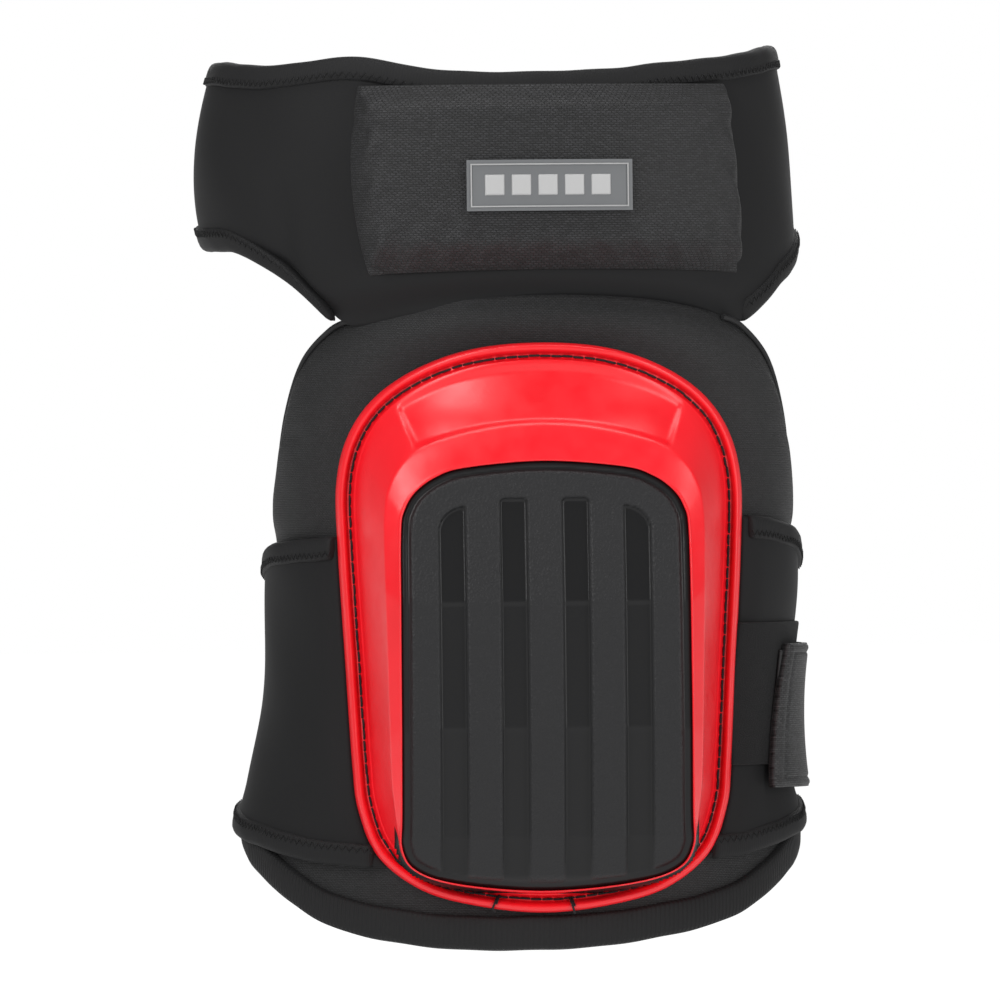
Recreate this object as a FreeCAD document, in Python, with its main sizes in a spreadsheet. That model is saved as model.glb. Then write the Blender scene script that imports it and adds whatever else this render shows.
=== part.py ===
import FreeCAD, Part
import bisect
import math
import os

# A strap-on knee pad: a moulded cap with a rubber kneeling insert, sewn to a padded knee body,
# held on the leg by a calf strap and by a padded thigh cuff with a strap of its own.
# Millimetres. +X to the right, -Y to the front, +Z up, as worn. The origin is in the middle of
# the leg, at the height of the middle of the cap.

Vector = FreeCAD.Vector
doc = FreeCAD.newDocument("knee_pad")

# ---------------------------------------------------------------- driving dimensions

# Level sections of the leg form, which is the outer face of the padded body, and of the thigh
# form, which is the outer face of the cuff: height, half width, half depth, shift to the right.
LEG_STATIONS = ("brow", "rim", "waist", "girth", "flare", "hem")
THIGH_STATIONS = ("seam", "fold", "swell", "brim")
STATIONS = {
    "brow": (130, 93, 60, 0),
    "rim": (20, 94.5, 62, -0.5),
    "waist": (-25, 93, 62, -3.5),
    "girth": (-55, 96.6, 61, -6),
    "flare": (-75, 101.7, 59, -6),
    "hem": (-125, 104, 52, -7),
    "seam": (105, 99, 62, -4),
    "fold": (140, 109.5, 62, -11),
    "swell": (175, 110.5, 62, -14),
    "brim": (220, 102, 61, -12),
}
DIMENSIONS = {
    # Layers of the padded body, inwards from the leg form.
    "cover_thickness": 1.2,
    "foam_thickness": 9.8,
    "lining_thickness": 1.2,
    "layer_gap": 0.15,
    "part_gap": 0.4,
    "body_edge_reach": 6,
    # Soft gel block let into the foam behind the kneecap.
    "gel_half_width": 46,
    "gel_top": 70,
    "gel_bottom": -72,
    # Neoprene wings, cuff and the tape folded over their edges.
    "neoprene_thickness": 4,
    "wing_gap": 0.3,
    "binding_width": 8.5,
    "binding_thickness": 1.15,
    "hem_tape_width": 11,
    "piping_width": 3,
    # Hook-and-loop closures and straps, outwards from the neoprene.
    "loop_thickness": 1.55,
    "hook_lift": 2.0,
    "hook_thickness": 1.0,
    "strap_lift": 3.1,
    "strap_thickness": 2.0,
    "tab_thickness": 3.4,
    "strap_gap": 3,
    # Calf strap.
    "calf_strap_top": -6.5,
    "calf_strap_bottom": -58.5,
    "calf_hinge_back": 51,
    "calf_anchor_front": 24,
    "calf_tab_back": -9,
    # Cuff strap.
    "cuff_strap_top": 203,
    "cuff_strap_bottom": 155,
    "cuff_left_hinge_back": 46,
    "cuff_right_hinge_back": 60,
    "cuff_anchor_front": 22,
    "cuff_strap_tip": 25,
    # Cuff.
    "neck_top": 130.7,
    "cuff_lower_front": 131,
    "cuff_gap_left": -62,
    "cuff_gap_right": 44,
    "pocket_thickness": 12,
    "pocket_wall": 1.2,
    "pocket_left": -72,
    "pocket_right": 79,
    "pocket_bottom": 131.5,
    "pocket_top": 199.5,
    "label_centre": 3.5,
    "label_bottom": 153,
    "label_width": 61,
    "label_height": 18.7,
    "label_thickness": 1.8,
    # Cap.
    "cap_lift": 0.4,
    "cap_wall": 2.6,
    "insert_face": -84,
    "insert_wall": 6,
    "flange_drop": 1.5,
    "flange_width": 3.7,
    "groove_width": 10,
    "groove_pitch": 22.6,
    "groove_depth": 2.4,
}

sheet = doc.addObject("Spreadsheet::Sheet", "Sizes")
STATION_WORDS = ("height", "half_width", "depth", "shift")
cells = {
    f"{station}_{word}": value
    for station, values in STATIONS.items()
    for word, value in zip(STATION_WORDS, values)
}
cells.update(DIMENSIONS)
for row, (alias, value) in enumerate(cells.items(), start=1):
    sheet.set(f"A{row}", alias)
    sheet.set(f"B{row}", str(value))
    sheet.setAlias(f"B{row}", alias)
doc.recompute()


def size(alias):
    return float(sheet.get(alias))


# ---------------------------------------------------------------- forms and outlines

ALONG_X = FreeCAD.Rotation(Vector(1, 1, 1), 120)
FACING_FRONT = FreeCAD.Rotation(Vector(1, 0, 0), 90)
FAR = 150


def leg_form(name, stations, offset):
    """A solid through the level sections of the leg or thigh, grown by an offset expression."""
    sections = []
    for station in stations:
        ellipse = doc.addObject("Part::Ellipse", f"{name}_{station}")
        ellipse.setExpression("MajorRadius", f"Sizes.{station}_half_width + {offset}")
        ellipse.setExpression("MinorRadius", f"Sizes.{station}_depth + {offset}")
        ellipse.setExpression("Placement.Base.x", f"Sizes.{station}_shift")
        ellipse.setExpression("Placement.Base.z", f"Sizes.{station}_height")
        sections.append(ellipse)
    form = doc.addObject("Part::Loft", name)
    form.Sections = sections
    form.Solid = True
    form.Ruled = True
    return form


def shell_between(name, stations, inner, outer):
    """The layer of a form between two offsets."""
    return cut(
        name,
        leg_form(f"{name}_outer", stations, outer),
        leg_form(f"{name}_inner", stations, inner),
    )


def cut(name, base, tool):
    result = doc.addObject("Part::Cut", name)
    result.Base = base
    result.Tool = tool
    return result


def common(name, first, *others):
    """What the first shape shares with every other, taken one at a time."""
    result = first
    for index, other in enumerate(others):
        pair = doc.addObject("Part::Common", name if other is others[-1] else f"{name}_{index}")
        pair.Base = result
        pair.Tool = other
        result = pair
    return result


def fuse(name, *shapes):
    result = doc.addObject("Part::MultiFuse", name)
    result.Shapes = list(shapes)
    return result


def curve_through(points, closed=False):
    curve = Part.BSplineCurve()
    curve.interpolate([Vector(across, up, 0) for across, up in points], PeriodicFlag=closed)
    return curve


def outline(name, rotation, *runs):
    """A closed sketch. Each run is a list of points: two make a line, more make a smooth curve."""
    sketch = doc.addObject("Sketcher::SketchObject", f"{name}_sketch")
    for run in runs:
        if len(run) == 2:
            start, end = (Vector(across, up, 0) for across, up in run)
            sketch.addGeometry(Part.LineSegment(start, end), False)
        else:
            sketch.addGeometry(curve_through(run, closed=len(runs) == 1), False)
    sketch.Placement = FreeCAD.Placement(Vector(), rotation)
    return sketch


def polygon(name, rotation, points):
    """A closed sketch of straight lines."""
    return outline(name, rotation, *zip(points, points[1:] + points[:1]))


def prism(name, sketch, direction, start, end):
    """A sketch pushed out along a direction, from start to end."""
    solid = doc.addObject("Part::Extrusion", name)
    solid.Base = sketch
    solid.DirMode = "Custom"
    solid.Dir = direction
    solid.LengthFwd = end
    solid.LengthRev = -start
    solid.Solid = True
    return solid


def front_prism(name, sketch, start=-FAR, end=0):
    return prism(name, sketch, Vector(0, 1, 0), start, end)


def side_prism(name, sketch, start, end):
    return prism(name, sketch, Vector(1, 0, 0), start, end)


def drawn_in(distance, *runs):
    """The runs of a clockwise outline moved inwards, each point square to its own curve."""
    moved = []
    for run in runs:
        curve = curve_through(run, closed=len(runs) == 1)
        shifted = []
        for across, up in run:
            along, = curve.tangent(curve.parameter(Vector(across, up, 0)))
            shifted.append((across + along.y * distance, up - along.x * distance))
        moved.append(shifted)
    if len(moved) > 1:
        for run, following in zip(moved, moved[1:] + moved[:1]):
            (end_across, end_up), (across, up) = run[-1], following[0]
            run[-1] = following[0] = ((end_across + across) / 2, (end_up + up) / 2)
    return moved


def block(name, low, high):
    """A box from its lowest corner to its highest, each a list of three expressions."""
    box = doc.addObject("Part::Box", name)
    for axis, side, start, end in zip("xyz", ("Length", "Width", "Height"), low, high):
        box.setExpression(f"Placement.Base.{axis}", f"{start}")
        box.setExpression(side, f"({end}) - ({start})")
    return box


def raised(name, sketch, make_prism, expression, *reach):
    """The same prism moved up by an expression, for cutting a strip that follows an edge."""
    solid = make_prism(name, sketch, *reach)
    solid.setExpression("Placement.Base.z", expression)
    return solid


def ellipse_at(stations, height):
    """Half width, half depth and shift of a form at a height, between its level sections."""
    rows = sorted(tuple(size(f"{name}_{word}") for word in STATION_WORDS) for name in stations)
    heights = [row[0] for row in rows]
    upper = min(max(bisect.bisect(heights, height), 1), len(rows) - 1)
    low, high = rows[upper - 1], rows[upper]
    share = (height - low[0]) / (high[0] - low[0])
    return [start + (end - start) * share for start, end in zip(low[1:], high[1:])]


def front_of_body(across, height):
    """The Y of the front of the padded body, and how much steeper than level it runs there."""
    half_width, depth, shift = ellipse_at(LEG_STATIONS, height)
    ratio = (across - shift) / half_width
    root = math.sqrt(1 - ratio * ratio)
    slope = depth / half_width * ratio / root
    return -depth * root, math.sqrt(1 + slope * slope)


nodes = []


def node(name, shape):
    """Names an object as a sub-part of the knee pad."""
    shape.Label = name
    nodes.append(shape)
    return shape


# ---------------------------------------------------------------- padded knee body

TOP_CORNER = (75.6, 112.5)
BODY_EDGE = (
    [(-75.6, 112.5), (-46, 120.8), (0, 123.5), (46, 120.8), TOP_CORNER],
    [TOP_CORNER, (86, 100), (91, 80), (93.4, 57), (98, 34), (101, -15), (101, -62), (97.5, -77)],
    [(97.5, -77), (88, -94), (68, -107.5), (35, -115), (-5, -117.8), (-45, -116), (-76, -109.5),
     (-97, -96), (-113, -72.5)],
    [(-113, -72.5), (-112, -40), (-105, -5), (-98, 34), (-93.4, 57), (-91, 80), (-86, 100),
     (-75.6, 112.5)],
)
body_reach = (-FAR, size("body_edge_reach"))
body_prism = front_prism("body_prism", outline("body", FACING_FRONT, *BODY_EDGE), *body_reach)

cover_back = "(-Sizes.cover_thickness)"
foam_front = f"({cover_back} - Sizes.layer_gap)"
foam_back = f"({foam_front} - Sizes.foam_thickness)"
lining_front = f"({foam_back} - Sizes.layer_gap)"
lining_back = f"({lining_front} - Sizes.lining_thickness)"

cover_layer = shell_between("cover_layer", LEG_STATIONS, cover_back, "0")
node("knee_cover", common("knee_cover", cover_layer, body_prism))

def gel_outline(name, inset):
    """The outline of the gel block: upright, a little narrower at the bottom."""
    half, top, bottom = (size(word) for word in ("gel_half_width", "gel_top", "gel_bottom"))
    half, top, bottom = half - inset, top - inset, bottom + inset
    points = [(0, top), (half, 30), (half - 2, -30), (0, bottom), (2 - half, -30), (-half, 30)]
    return outline(name, FACING_FRONT, points)


gel_window = front_prism("gel_window", gel_outline("gel_window", 0))
gel_prism = front_prism("gel_prism", gel_outline("gel", 0.3))
foam_layer = shell_between("foam_layer", LEG_STATIONS, foam_back, foam_front)
foam_blank = common("foam_blank", foam_layer, body_prism)
node("foam_core", cut("foam_core", foam_blank, gel_window))
node("gel_cushion", common("gel_cushion", foam_layer, gel_prism))

lining_layer = shell_between("lining_layer", LEG_STATIONS, lining_back, lining_front)
node("inner_lining", common("inner_lining", lining_layer, body_prism))

# The outline of the calf band's wings from the side. The hem tape ends under their lower edges.
WING_SIDE = [
    (-52, 36), (0, 29.5), (25, 20), (54, -3), (54, -60), (25, -66), (0, -72), (-52, -89),
]
wing_sketch = polygon("wing", ALONG_X, WING_SIDE)

# The edge of the cover is taped: wide ribbed tape round the hem, and narrow piping up the sides.
tape_layer = shell_between(
    "tape_layer", LEG_STATIONS, "Sizes.layer_gap", "Sizes.layer_gap + Sizes.binding_thickness"
)
wings_clear = raised("wings_clear", wing_sketch, side_prism, "-Sizes.part_gap", -FAR, FAR)


def edge_strip(name, width, low, high):
    """The strip of the taped edge of the body, of a width, inside a room."""
    inner = outline(f"{name}_inner", FACING_FRONT, *drawn_in(width, *BODY_EDGE))
    strip = cut(f"{name}_strip", body_prism, front_prism(f"{name}_inside", inner, end=FAR))
    room = common(f"{name}_room", strip, block(f"{name}_block", low, high))
    if name == "bottom_binding":
        room = cut(f"{name}_below_wings", room, wings_clear)
    return node(name, common(name, tape_layer, room))


edge_strip("bottom_binding", size("hem_tape_width"), (-FAR, -FAR, -FAR), (FAR, FAR, -73))
edge_strip("left_edge_piping", size("piping_width"), (-FAR, -FAR, 40), (-70, FAR, 112))
edge_strip("right_edge_piping", size("piping_width"), (70, -FAR, 40), (FAR, FAR, 112))

# ---------------------------------------------------------------- cap

# Outer edge of the cap and the edge of its opening, from the top down the right side.
CAP_EDGE = [
    (0, 105), (24, 103), (44, 96.5), (60, 86), (70, 72), (74.5, 54), (74.2, 29), (72, -12),
    (70, -49), (68, -66), (61, -83), (45, -95.5), (24, -101.5), (0, -104),
]
OPENING_EDGE = [
    (0, 61.8), (29, 59.5), (40, 56), (47.3, 50.7), (51.2, 44.5), (52.8, 36), (53.2, 3),
    (53.4, -64), (53, -79.5), (46.6, -88), (29.8, -93), (0, -95.6),
]


def mirrored(half):
    """A whole outline from its right half."""
    return half + [(-across, up) for across, up in half[-2:0:-1]]


def edge_inside(name, half, distance):
    """The sketch of a mirrored outline, drawn in by a distance."""
    return outline(name, FACING_FRONT, *drawn_in(distance, mirrored(half)))


# The profile of the kneeling face from top to bottom: three flats that rock over the knee, then
# a curl back to the rim.
FACE_PROFILE = [(62, 7), (10, 0), (-37, 0), (-76, 4.5), (-90, 11), (-99, 20)]


def face_y(height):
    """The Y of the kneeling face at a height."""
    points = sorted(FACE_PROFILE)
    heights = [point[0] for point in points]
    upper = min(max(bisect.bisect(heights, height), 1), len(points) - 1)
    (low, start), (high, end) = points[upper - 1], points[upper]
    share = (height - low) / (high - low)
    return size("insert_face") + start + (end - start) * share


STATION_COUNT = 96
SKIRT_TURN = 0.55


def stations_on(half):
    """Evenly spaced points round an outline, with the direction to its inside at each."""
    curve = curve_through(mirrored(half), closed=True)
    span = (curve.LastParameter - curve.FirstParameter) / STATION_COUNT
    length = curve.length()
    places = []
    for index in range(STATION_COUNT):
        along = curve.parameterAtDistance(length * index / STATION_COUNT, curve.FirstParameter)
        spot = curve.value(along)
        ahead = curve.value(curve.FirstParameter + (along + span * 0.01) % (
            curve.LastParameter - curve.FirstParameter)) - spot
        ahead.normalize()
        places.append((spot.x, spot.y, ahead.y, -ahead.x))
    return places


def rim_line(inwards, lift):
    """A line round the rim, a distance inside the edge and a height over the body."""
    points = []
    for across, up, side_across, side_up in stations_on(CAP_EDGE):
        spot_across = across + side_across * inwards
        spot_up = up + side_up * inwards
        body_y, steepness = front_of_body(spot_across, spot_up)
        points.append(Vector(spot_across, body_y - lift * steepness, spot_up))
    return points


def opening_line(inwards, setback):
    """A line round the opening, a distance inside its edge and behind the kneeling face."""
    points = []
    for across, up, side_across, side_up in stations_on(OPENING_EDGE):
        spot_up = up + side_up * inwards
        points.append(Vector(across + side_across * inwards, face_y(spot_up) + setback, spot_up))
    return points


STEEPEST_SWELL = 0.3


def between(outer, inner, share, swell):
    """A line part of the way between two lines, pushed out to the front, less where they are near."""
    points = []
    for start, end in zip(outer, inner):
        bulge = min(swell, STEEPEST_SWELL * abs(end.y - start.y))
        points.append(start + (end - start) * share - Vector(0, bulge, 0))
    return points


def closed_ring(lines):
    """A solid ring whose section joins the lines in order, in two halves that meet on the middle."""
    half = len(lines[0]) // 2
    faces = []
    for start, end in ((0, half), (half, 2 * half)):
        edges = []
        for points in lines:
            run = (points + points[:1])[start : end + 1]
            curve = Part.BSplineCurve()
            curve.interpolate(Points=run, Parameters=list(range(half + 1)))
            edges.append(curve.toShape())
        for first, second in zip(edges, edges[1:] + edges[:1]):
            faces += Part.makeRuledSurface(first, second).Faces
    shell = Part.Shell(faces)
    shell.sewShape()
    solid = Part.Solid(shell)
    if solid.Volume < 0:
        solid.reverse()
    return solid


# The section of the rim, from its outer foot inwards over the bead, the sewing channel and the
# lip: distance inside the edge, height over the body. The skirt and its underside follow.
RIM_SECTION = [
    (0.7, 0), (0, 2.2), (0.2, 4.8), (1.8, 6.6), (3.5, 5.4), (4.1, 3.6), (5.7, 3.6), (6.1, 4.9),
    (6.6, 5.2),
]
RIM_UNDERSIDE = [(8.0, 2.4), (7.9, 0)]
EDGE_WIDTH = 1.6
EDGE_PROUD = 0.6
SKIRT_SWELL = 3.5
UNDERSIDE_SWELL = 2.4


def cap_ring():
    """The moulded shell: rim, skirt up to the opening, edge of the opening, and back under."""
    lift = size("cap_lift")
    rim = [rim_line(inwards, lift + height) for inwards, height in RIM_SECTION]
    underside = [rim_line(inwards, lift + height) for inwards, height in RIM_UNDERSIDE]
    shoulder = opening_line(-EDGE_WIDTH, -EDGE_PROUD / 2)
    edge = opening_line(0, -EDGE_PROUD)
    edge_back = opening_line(0, size("cap_wall"))
    skirt = between(rim[-1], shoulder, SKIRT_TURN, SKIRT_SWELL)
    skirt_back = between(underside[0], edge_back, SKIRT_TURN, UNDERSIDE_SWELL)
    return closed_ring(rim + [skirt, shoulder, edge, edge_back, skirt_back] + underside)


cap_blank = doc.addObject("Part::Feature", "cap_blank")
cap_blank.Shape = cap_ring()

# A shallow scoop is pressed into the skirt above the opening.
scoop_sketch = outline(
    "scoop",
    FACING_FRONT,
    [(-53, 82), (-30, 92.5), (0, 96), (30, 92.5), (53, 82)],
    [(53, 82), (47, 66.5)],
    [(47, 66.5), (36, 71), (21, 74), (0, 75.2), (-21, 74), (-36, 71), (-47, 66.5)],
    [(-47, 66.5), (-53, 82)],
)
scoop_profile = polygon(
    "scoop_floor", ALONG_X, [(-120, 60), (-75.4, 60), (-66.6, 98), (-66.6, 110), (-120, 110)]
)
scoop_side = side_prism("scoop_side", scoop_profile, -FAR, FAR)
scoop_tool = common("scoop_tool", front_prism("scoop_prism", scoop_sketch), scoop_side)
node("cap_shell", cut("cap_shell", cap_blank, scoop_tool))

stitch_ring = doc.addObject("Part::Feature", "stitch_ring")
STITCH_SECTION = [(4.6, 4.1), (4.6, 4.8), (5.2, 4.8), (5.2, 4.1)]
stitch_ring.Shape = closed_ring([rim_line(inwards, lift) for inwards, lift in STITCH_SECTION])
node("cap_stitching", stitch_ring)


def face_solid(name, setback):
    """Everything behind the kneeling face, from a setback, to the depth of the insert's wall."""
    front = [(size("insert_face") + back + setback, up) for up, back in FACE_PROFILE]
    rear = [(across + size("insert_wall") - setback, up) for across, up in reversed(front)]
    return side_prism(name, polygon(name, ALONG_X, front + rear), -FAR, FAR)


flange_prism = front_prism("flange_prism", edge_inside("flange_edge", OPENING_EDGE, 0.4))
flange = common("insert_flange", face_solid("flange_solid", size("flange_drop")), flange_prism)
raised_edge = edge_inside("raised_edge", OPENING_EDGE, size("flange_width"))
raised_face = common("insert_face", face_solid("face_solid", 0), front_prism("raised_prism", raised_edge))
insert_blank = fuse("insert_blank", flange, raised_face)


def groove(index):
    """One groove: the inner pair end square, the outer pair end in a quarter round."""
    centre = (index - 1.5) * size("groove_pitch")
    half = size("groove_width") / 2
    inner, outer = centre - math.copysign(half, centre), centre + math.copysign(half, centre)
    if index in (1, 2):
        top = [[(inner, 48), (outer, 48)]]
        outer_top = 48
    else:
        outer_top = 36.5
        bend = math.radians(45)
        arc = [
            (inner + (outer - inner) * math.sin(step * bend), outer_top + 8.5 * math.cos(step * bend))
            for step in range(3)
        ]
        top = [arc]
    top_start = top[0][0]
    runs = top + [[(outer, outer_top), (outer, -110)], [(outer, -110), (inner, -110)],
                  [(inner, -110), top_start]]
    return front_prism(f"groove_{index}", outline(f"groove_{index}", FACING_FRONT, *runs))


grooves = fuse("grooves", *[groove(index) for index in range(4)])
groove_floor = face_solid("groove_floor", size("groove_depth"))
groove_tool = cut("groove_tool", grooves, groove_floor)
node("cap_insert", cut("cap_insert", insert_blank, groove_tool))

# A firm foam block fills the cap behind the insert and carries the load to the padded body.
filler_sketch = edge_inside("filler_edge", OPENING_EDGE, 4)
behind_insert = size("insert_face") + size("insert_wall") + size("part_gap")
filler_front = [(behind_insert + back, up) for up, back in FACE_PROFILE[:-1]]
filler_space = polygon("filler_space", ALONG_X, filler_front + [(-20, -90), (-20, 62)])
filler_blank = common(
    "filler_blank",
    front_prism("filler_prism", filler_sketch),
    side_prism("filler_side", filler_space, -FAR, FAR),
)
filler_behind = leg_form("filler_behind", LEG_STATIONS, "Sizes.cap_lift")
node("cap_filler", cut("cap_filler", filler_blank, filler_behind))

# ---------------------------------------------------------------- calf band

cap_clear = front_prism("cap_clear", edge_inside("cap_clear_edge", CAP_EDGE, -0.3))
wing_inner = "Sizes.wing_gap"
wing_outer = "(Sizes.wing_gap + Sizes.neoprene_thickness)"
wing_layer = shell_between("wing_layer", LEG_STATIONS, wing_inner, wing_outer)
wing_tape_layer = shell_between(
    "wing_tape_layer",
    LEG_STATIONS,
    f"{wing_outer} + Sizes.layer_gap",
    f"{wing_outer} + Sizes.layer_gap + Sizes.binding_thickness",
)
for side, reach in (("left", (-FAR, -20)), ("right", (20, FAR))):
    wing_prism = side_prism(f"{side}_wing_prism", wing_sketch, *reach)
    wing_room = cut(f"{side}_wing_room", wing_prism, cap_clear)
    node(f"{side}_wing", common(f"{side}_wing", wing_layer, wing_room))
    for edge, shift in (("top", "-Sizes.binding_width"), ("bottom", "Sizes.binding_width")):
        name = f"{side}_wing_{edge}_binding"
        inside = raised(f"{name}_inside", wing_sketch, side_prism, shift, *reach)
        strip = cut(f"{name}_strip", wing_room, inside)
        node(name, common(name, wing_tape_layer, strip))

loop_layer = shell_between(
    "loop_layer",
    LEG_STATIONS,
    f"{wing_outer} + Sizes.layer_gap",
    f"{wing_outer} + Sizes.layer_gap + Sizes.loop_thickness",
)
loop_sketch = polygon("loop", ALONG_X, [(-60, 1.5), (34, 1.5), (34, -51), (-60, -51)])
loop_room = cut("loop_room", side_prism("loop_prism", loop_sketch, 20, FAR), cap_clear)
node("calf_loop_patch", common("calf_loop_patch", loop_layer, loop_room))


def strap_layer(name, stations, base, start, end):
    return shell_between(name, stations, f"{base} + {start}", f"{base} + {end}")


CALF_HEIGHT = ("Sizes.calf_strap_bottom", "Sizes.calf_strap_top")


def strap_room(name, low_x, high_x, low_y, high_y, heights):
    return block(name, (low_x, low_y, heights[0]), (high_x, high_y, heights[1]))


strap_start = "Sizes.strap_lift"
strap_end = "Sizes.strap_lift + Sizes.strap_thickness"
calf_webbing = strap_layer("calf_webbing", LEG_STATIONS, wing_outer, strap_start, strap_end)
half_gap = "Sizes.strap_gap / 2"

# The strap's sewn end is folded back on itself, so it is as thick as the closure beside it.
calf_anchor_layer = strap_layer(
    "calf_anchor_layer", LEG_STATIONS, wing_outer, "Sizes.binding_thickness + 0.4", strap_end
)
calf_anchor_room = strap_room(
    "calf_anchor_room", -FAR, 0, "Sizes.calf_anchor_front",
    f"Sizes.calf_hinge_back - {half_gap}", CALF_HEIGHT,
)
node("calf_strap_anchor", common("calf_strap_anchor", calf_anchor_layer, calf_anchor_room))

calf_back_room = strap_room(
    "calf_back_room", -FAR, FAR, f"Sizes.calf_hinge_back + {half_gap}", FAR, CALF_HEIGHT
)
node("calf_strap_back", common("calf_strap_back", calf_webbing, calf_back_room))

calf_end_room = strap_room(
    "calf_end_room", 0, FAR, f"Sizes.calf_tab_back + {half_gap} / 5",
    f"Sizes.calf_hinge_back - {half_gap}", CALF_HEIGHT,
)
node("calf_strap_end", common("calf_strap_end", calf_webbing, calf_end_room))

# The finger tab is the strap's tip folded double, cut at a slant.
tab_layer = strap_layer(
    "tab_layer", LEG_STATIONS, wing_outer, strap_start, "Sizes.strap_lift + Sizes.tab_thickness"
)
tab_sketch = polygon(
    "tab",
    ALONG_X,
    [
        (-28, size("calf_strap_top")),
        (size("calf_tab_back"), size("calf_strap_top")),
        (size("calf_tab_back"), size("calf_strap_bottom")),
        (-35, size("calf_strap_bottom") - 1),
    ],
)
tab_prism = side_prism("tab_prism", tab_sketch, 20, FAR)
node("calf_strap_tab", common("calf_strap_tab", tab_layer, tab_prism))

hook_layer = strap_layer(
    "hook_layer", LEG_STATIONS, wing_outer, "Sizes.hook_lift", "Sizes.hook_lift + Sizes.hook_thickness"
)
hook_sketch = polygon("hook", ALONG_X, [(-24, -9), (32, -9), (32, -50), (-26, -50)])
hook_prism = side_prism("hook_prism", hook_sketch, 20, FAR)
node("calf_hook_patch", common("calf_hook_patch", hook_layer, hook_prism))

# ---------------------------------------------------------------- thigh cuff

LEFT_NOTCH = (-75.6, 112.9)
RIGHT_NOTCH = (75.6, 112.9)
cuff_sketch = outline(
    "cuff",
    FACING_FRONT,
    [(-135, 211), (-117, 209.5), (-95, 207.3), (-69, 210.2), (-49, 206.6), (-30, 204.3),
     (10, 204), (30, 204.8), (46, 206.8), (67, 208.7), (88, 212.8), (120, 217)],
    [(120, 217), (120, 137)],
    [(120, 137), (99, 136.5), (92, 127), (84, 119.2), RIGHT_NOTCH],
    [RIGHT_NOTCH, (46, 121.2), (0, 123.9), (-46, 121.2), LEFT_NOTCH],
    [LEFT_NOTCH, (-80, 120.3), (-90, 128.6), (-104.5, 140), (-135, 141.5)],
    [(-135, 141.5), (-135, 211)],
)
# From the side: the lower edge climbs towards the strap at the back.
CUFF_SIDE = [(-90, 90), (0, 90), (4, 139), (30, 146), (75, 154), (75, 230), (-90, 230)]
cuff_side_sketch = polygon("cuff_side", ALONG_X, CUFF_SIDE)
cuff_front = front_prism("cuff_front", cuff_sketch, end=FAR)
cuff_side = side_prism("cuff_side_prism", cuff_side_sketch, -FAR, FAR)
cuff_gap = block(
    "cuff_gap", ("Sizes.cuff_gap_left", 0, 0), ("Sizes.cuff_gap_right", FAR, 300)
)
cuff_whole = common("cuff_whole", cuff_front, cuff_side)
cuff_room = cut("cuff_room", cuff_whole, cuff_gap)
cuff_layer = shell_between("cuff_layer", THIGH_STATIONS, "(-Sizes.neoprene_thickness)", "0")
above_seam = block("above_seam", (-FAR, -FAR, "Sizes.cuff_lower_front"), (FAR, FAR, 300))
node("cuff_band", common("cuff_band", cuff_layer, common("band_room", cuff_room, above_seam)))

# The neck is the strip of the same neoprene that bends where the cuff joins the knee body.
below_seam = block("below_seam", (-FAR, -FAR, 0), (FAR, 0, "Sizes.neck_top"))
node("cuff_neck", common("cuff_neck", cuff_layer, common("neck_room", cuff_room, below_seam)))

cuff_tape_layer = shell_between(
    "cuff_tape_layer", THIGH_STATIONS, "Sizes.layer_gap", "Sizes.layer_gap + Sizes.binding_thickness"
)
below_top = raised("below_top", cuff_sketch, front_prism, "-Sizes.binding_width", -FAR, FAR)
top_strip = cut("top_strip", cuff_room, below_top)
top_room = block("top_room", (-FAR, -FAR, 190), (FAR, FAR, 300))
top_strip_room = common("top_strip_room", top_strip, top_room)
node("cuff_top_binding", common("cuff_top_binding", cuff_tape_layer, top_strip_room))

above_front_edge = raised("above_front_edge", cuff_sketch, front_prism, "Sizes.binding_width", -FAR, FAR)
above_side_edge = raised(
    "above_side_edge", cuff_side_sketch, side_prism, "Sizes.binding_width", -FAR, FAR
)
above_edges = common("above_edges", above_front_edge, above_side_edge)
low_strip = cut("low_strip", cuff_room, above_edges)
for side, low_x, high_x in (("left", -FAR, -76), ("right", 76, FAR)):
    name = f"cuff_{side}_binding"
    room = block(f"{name}_room", (low_x, -FAR, "Sizes.cuff_lower_front"), (high_x, FAR, 190))
    strip = common(f"{name}_strip", low_strip, room)
    node(name, common(name, cuff_tape_layer, strip))

# Padded pocket on the front of the cuff: a woven cover, open at the back, over a foam pad.
POCKET_CORNER = 6


def rounded_panel(name, inset):
    """The pocket's outline, drawn in by an inset: a box with cut corners."""
    left, right = size("pocket_left") + inset, size("pocket_right") - inset
    bottom, top = size("pocket_bottom") + inset, size("pocket_top") - inset
    corner = POCKET_CORNER - inset
    points = [
        (left + corner, top), (right - corner, top), (right, top - corner),
        (right, bottom + corner), (right - corner, bottom), (left + corner, bottom),
        (left, bottom + corner), (left, top - corner),
    ]
    return polygon(name, FACING_FRONT, points)


pocket_outer = "(Sizes.pocket_thickness)"
# The upper edge of the pocket is tucked under the cuff's top binding.
pocket_tuck = raised("pocket_tuck", cuff_sketch, front_prism, "-Sizes.binding_width - 0.3", -FAR, 0)
pocket_room = common(
    "pocket_room", front_prism("pocket_prism", rounded_panel("pocket", 0)), pocket_tuck
)
pocket_layer = shell_between("pocket_layer", THIGH_STATIONS, "Sizes.layer_gap", pocket_outer)
pocket_blank = common("pocket_blank", pocket_layer, pocket_room)
pocket_inside = rounded_panel("pocket_inside", size("pocket_wall"))
inside_tuck = raised("inside_tuck", cuff_sketch, front_prism, "-Sizes.binding_width - 1.5", -FAR, 0)
inside_room = common("inside_room", front_prism("inside_prism", pocket_inside), inside_tuck)
inside_form = leg_form("inside_form", THIGH_STATIONS, f"{pocket_outer} - Sizes.pocket_wall")
pocket_hollow = common("pocket_hollow", inside_form, inside_room)
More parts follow.
